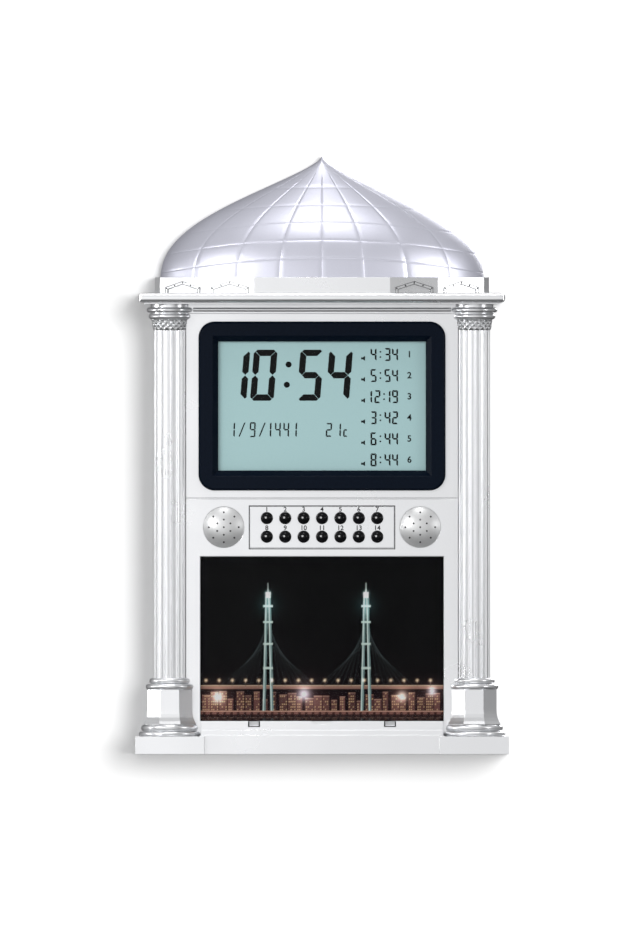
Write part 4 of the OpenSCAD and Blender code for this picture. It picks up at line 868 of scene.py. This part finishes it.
# %% Paint shade on the gables of the drum
second_deep, third_deep, hairline, bead_step, bead_r = 7.0, 19.5, 0.22, 4.55, 0.36
drum_low, drum_high = [np.array(corner) * 1000 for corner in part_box("drum")]
front_half, corner_half, last_half = 34.0, 58.0, drum_high[0] - 2.5
facet_ends = [(front_half, drum_low[1], corner_half, drum_low[1] + second_deep),
              (corner_half, drum_low[1] + second_deep, last_half, drum_low[1] + third_deep)]
half, low, eaves, peak, band = 9.75, 0.0, 2.75, 5.75, 1.3
slope = (peak - eaves) / half
inner_eaves = eaves + slope * band - band * math.hypot(1, slope)
outer = [(-half, low), (-half, eaves), (0, peak), (half, eaves), (half, low)]
inner_peak = peak - band * math.hypot(1, slope)
inner = [(band - half, low), (band - half, inner_eaves), (0, inner_peak), (half - band, inner_eaves),
         (half - band, low)]
flat = [stroke(*a, *b, hairline) for path in (outer, inner) for a, b in zip(path, path[1:])]
flat += [disc(i * bead_step, peak - abs(i * bead_step) * slope - band * 0.52, bead_r, 10)
         for i in range(-2, 3)]
# The hairlines and dots are painted shade along the raised gable frames.
points, faces = prisms(flat, -0.60, -0.51)
all_points, all_faces = [], []
for x0, y0, x1, y1 in facet_ends:
    for side in (1, -1):
        a = math.atan2(y1 - y0, x1 - x0)
        x, y = points[:, 0], points[:, 1]
        turned = np.column_stack([x * math.cos(a) - y * math.sin(a) + (x0 + x1) / 2,
                                  x * math.sin(a) + y * math.cos(a) + (y0 + y1) / 2,
                                  points[:, 2] + drum_low[2]])
        turned[:, 0] *= side
        start = len(all_points) * len(points)
        all_faces += [tuple(start + i for i in (face if side == 1 else face[::-1])) for face in faces]
        all_points.append(turned / 1000)
piece("gable_edge_shade", np.vstack(all_points), all_faces, painted_shade_grey, "case")

# %% [markdown]
# ## The night view
# Behind the picture cover lies a printed card with a night view. A generic one is drawn here:
# a cable bridge with two lit pylons over a waterfront. It is painted as colours on the points
# of a fine grid, each colour worked out from the point's place by simple formulas: a box with
# soft edges, a round glow, and a thin line.

# %% Set up the canvas
card_low, card_high = [np.array(corner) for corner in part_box("picture_card")]
columns, rows = 372, 250
across_mm = np.linspace(card_low[0], card_high[0], columns) * 1000
up_mm = np.linspace(0, card_high[2] - card_low[2], rows) * 1000
X, Z = np.meshgrid(across_mm, up_mm)
canvas = np.zeros((rows, columns, 3))
whole = (-62, 62)
print("canvas", canvas.shape, "over", np.round([across_mm[-1] - across_mm[0], up_mm[-1]], 1), "mm")


def soft_step(v, edge=0.30):
    """0 below zero, 1 above it, and a smooth ramp of that width between."""
    t = np.clip(v / edge + 0.5, 0, 1)
    return t * t * (3 - 2 * t)


def paint(mask, colour, share=1.0):
    """Lays a colour, 0 to 255, over the canvas where mask is 1."""
    global canvas
    cover = (mask * share)[..., None]
    canvas = canvas * (1 - cover) + np.array(colour) / 255 * cover


def block(x0, x1, z0, z1):
    """Mask of an upright box with soft edges."""
    return soft_step(X - x0) * soft_step(x1 - X) * soft_step(Z - z0) * soft_step(z1 - Z)


def glow(x, z, r, colour, power=1.0):
    """Adds a round light that fades as a bell curve of radius r."""
    global canvas
    fall = np.exp(-((X - x) ** 2 + (Z - z) ** 2) / (r * r)) * power
    canvas = canvas + fall[..., None] * np.array(colour) / 255


def line(x0, z0, x1, z1, width):
    """Mask of a straight line: 1 within half a width of it, by distance from the segment."""
    dx, dz = x1 - x0, z1 - z0
    t = np.clip(((X - x0) * dx + (Z - z0) * dz) / (dx * dx + dz * dz), 0, 1)
    far = np.hypot(X - x0 - t * dx, Z - z0 - t * dz)
    return soft_step(width / 2 - far, 0.25)


# %% [markdown]
# The sky is nearly black, with a warm haze that thins out above 12 mm as exp(-(z - 12) / 9). The
# far shore is a row of houses of random height and width with lit windows. The random numbers
# start from a fixed seed, so the picture is the same on every run.

# %% Paint the sky and the far shore
haze = np.exp(-np.clip(Z - 12, 0, None) / 9.0)
canvas[:] = np.array([4, 3, 4]) / 255
canvas += haze[..., None] * np.array([26, 14, 17]) / 255
seeded = np.random.default_rng(7)
for x in np.arange(-60, 60, 4.3):
    h = 9.5 + seeded.uniform(0.5, 5.5)
    w = seeded.uniform(2.6, 4.6)
    tone = seeded.uniform(0.75, 1.1)
    paint(block(x, x + w, 4, h), np.array([104, 70, 66]) * tone)
    paint(block(x, x + w, h - 0.5, h), np.array([190, 150, 130]) * tone, 0.7)
    for wx in np.arange(x + 0.6, x + w - 0.3, 0.95):
        for wz in np.arange(5.4, h - 0.8, 1.35):
            if seeded.random() < 0.62:
                paint(block(wx - 0.2, wx + 0.25, wz, wz + 0.6), [246, 206, 150], 0.85)
print("far shore painted, mean", round(float(canvas.mean()), 3))

# %% [markdown]
# The bridge is painted from back to front: the deck with its lit edge, then for each pylon the
# stay cables, the two leaning legs, the cross beams, the head and its mast, and last the row of
# lamps on the deck.

# %% Paint the bridge
deck_z = 17.0
pylons = (-27.0, 22.0)
paint(block(*whole, deck_z - 0.9, deck_z + 0.5), [150, 112, 100])
paint(block(*whole, deck_z + 0.5, deck_z + 0.9), [236, 204, 170])
for x in pylons:
    for side in (-1, 1):
        for k in range(1, 9):
            paint(line(x, 60.0 - k * 2.6, x + side * k * 3.0, deck_z + 0.6, 0.16), [120, 140, 142], 0.55)
    for leg in (-1.5, 1.5):
        paint(line(x + leg * 1.35, 4.0, x + leg * 0.45, 62.0, 1.5), [122, 150, 148])
        paint(line(x + leg * 1.35 - 0.35, 4.0, x + leg * 0.45 - 0.25, 62.0, 0.45), [226, 242, 236])
    for z in (26, 38, 49, 57):
        paint(block(x - 2.4, x + 2.4, z, z + 1.1), [205, 224, 216])
    paint(block(x - 1.3, x + 1.3, 61.5, 64.5), [222, 236, 228])
    paint(line(x, 64.5, x, 69.0, 0.5), [176, 190, 184])
    glow(x, 58.0, 6.0, [60, 96, 96], 0.55)
    glow(x, 64.0, 1.6, [190, 226, 220], 0.9)
for x in np.arange(-58, 60, 6.6):
    paint(line(x, deck_z + 0.6, x, deck_z + 3.2, 0.22), [90, 74, 66])
    glow(x, deck_z + 3.4, 0.9, [255, 226, 180], 1.0)
print("bridge painted")

# %% [markdown]
# The promenade is a wall with a light top and dark openings, and four bright lamps with wide
# glows. The water below is dark. It mirrors what stands above the shore line, as far over it as
# the point is under it, in bands of ripples.

# %% Paint the promenade and the water
water_z, shore_z = 3.2, 3.3
paint(block(*whole, water_z, 5.0), [132, 90, 82])
paint(block(*whole, 4.8, 5.2), [214, 170, 146])
for x in np.arange(-59.5, 60, 3.4):
    paint(block(x, x + 1.3, shore_z, 4.5), [52, 30, 28], 0.8)
for x, z, r, tint in ((-52, 12, 2.6, [255, 246, 232]), (-9, 13.5, 3.0, [235, 240, 255]),
                      (40, 12.5, 2.4, [255, 244, 226]), (55, 15.0, 2.0, [240, 244, 255])):
    glow(x, z, r, tint, 0.9)
    glow(x, z, r * 2.6, np.array(tint) * [0.5, 0.4, 0.36], 0.5)
paint(block(*whole, -1, shore_z), [22, 15, 16])
ripple = 0.55 + 0.45 * np.sin(Z * 9 + np.sin(X * 1.7) * 1.3)
from_row = np.clip((rows * (2 * shore_z - Z) / up_mm[-1]).astype(int), 0, rows - 1)
mirrored = canvas[from_row, np.arange(columns)[None, :]]
canvas = np.where((Z < water_z)[..., None], canvas + mirrored * (ripple * 0.45)[..., None], canvas)
canvas = np.clip(canvas, 0, 1)
print("night view painted, brightest", round(float(canvas.max()), 2))

# %% [markdown]
# ## The print on the card
# The canvas becomes a mesh: its points lie a hair in front of the card, a row behind closes the
# sheet, and the colours go into a colour attribute that the ink's material reads. They are
# turned from screen values into light values first.

# %% Lay the print on the card
def to_light(value):
    """Light value of a screen value v: v / 12.92 up to 0.04045, ((v + 0.055) / 1.055)^2.4 above."""
    return np.where(value <= 0.04045, value / 12.92, ((value + 0.055) / 1.055) ** 2.4)


def printed_sheet(name, xs, zs, y, thick, colours, material):
    """A grid in x and z at y with a colour on every point, closed behind by one wide face and a rim."""
    nx, nz = len(xs), len(zs)
    gx, gz = np.meshgrid(xs, zs)
    near = np.column_stack([gx.ravel(), np.full(gx.size, y), gz.ravel()])
    index = np.arange(nx * nz).reshape(nz, nx)
    quads = np.stack([index[:-1, :-1], index[:-1, 1:], index[1:, 1:], index[1:, :-1]], -1).reshape(-1, 4)
    rim = np.concatenate([index[0, :], index[1:, -1], index[-1, -2::-1], index[-2:0:-1, 0]])
    far = near[rim] + (0, thick, 0)
    behind = np.arange(len(rim)) + nx * nz
    walls = np.stack([np.roll(rim, -1), rim, behind, np.roll(behind, -1)], -1)
    faces = quads.tolist() + walls.tolist() + [behind[::-1].tolist()]
    made = piece(name, np.vstack([near, far]), faces, material, "case")
    values = np.ones((nx * nz + len(rim), 4))
    values[:nx * nz, :3] = to_light(colours).reshape(-1, 3)
    values[nx * nz:, :3] = 0.8
    layer = made.data.color_attributes.new("ink", "FLOAT_COLOR", "POINT")
    layer.data.foreach_set("color", values.ravel().astype(np.float32))
    return made


def ink_material():
    """Printed card: its colour is the ink attribute, under a satin varnish with faint grain."""
    made = finish("printed_card", (0.5, 0.5, 0.5), (0.5, 0.5, 0.5), 2500, (0.32, 0.42), 0.02, shine=0.03)
    tree = made.node_tree
    shader = tree.nodes["Principled BSDF"]
    colours = tree.nodes.new("ShaderNodeVertexColor")
    colours.layer_name = "ink"
    tree.links.new(colours.outputs["Color"], shader.inputs["Base Color"])
    return made


print_out, ink_thick = 0.00004, 0.00002
printed_sheet("night_print", across_mm / 1000, up_mm / 1000 + card_low[2], card_low[1] - print_out,
              ink_thick, canvas, ink_material())
card_black = finish("card_board", (0.010, 0.009, 0.010), (0.016, 0.014, 0.016), 1500, (0.5, 0.6), 0.1)
dress(card_black, "picture_card")
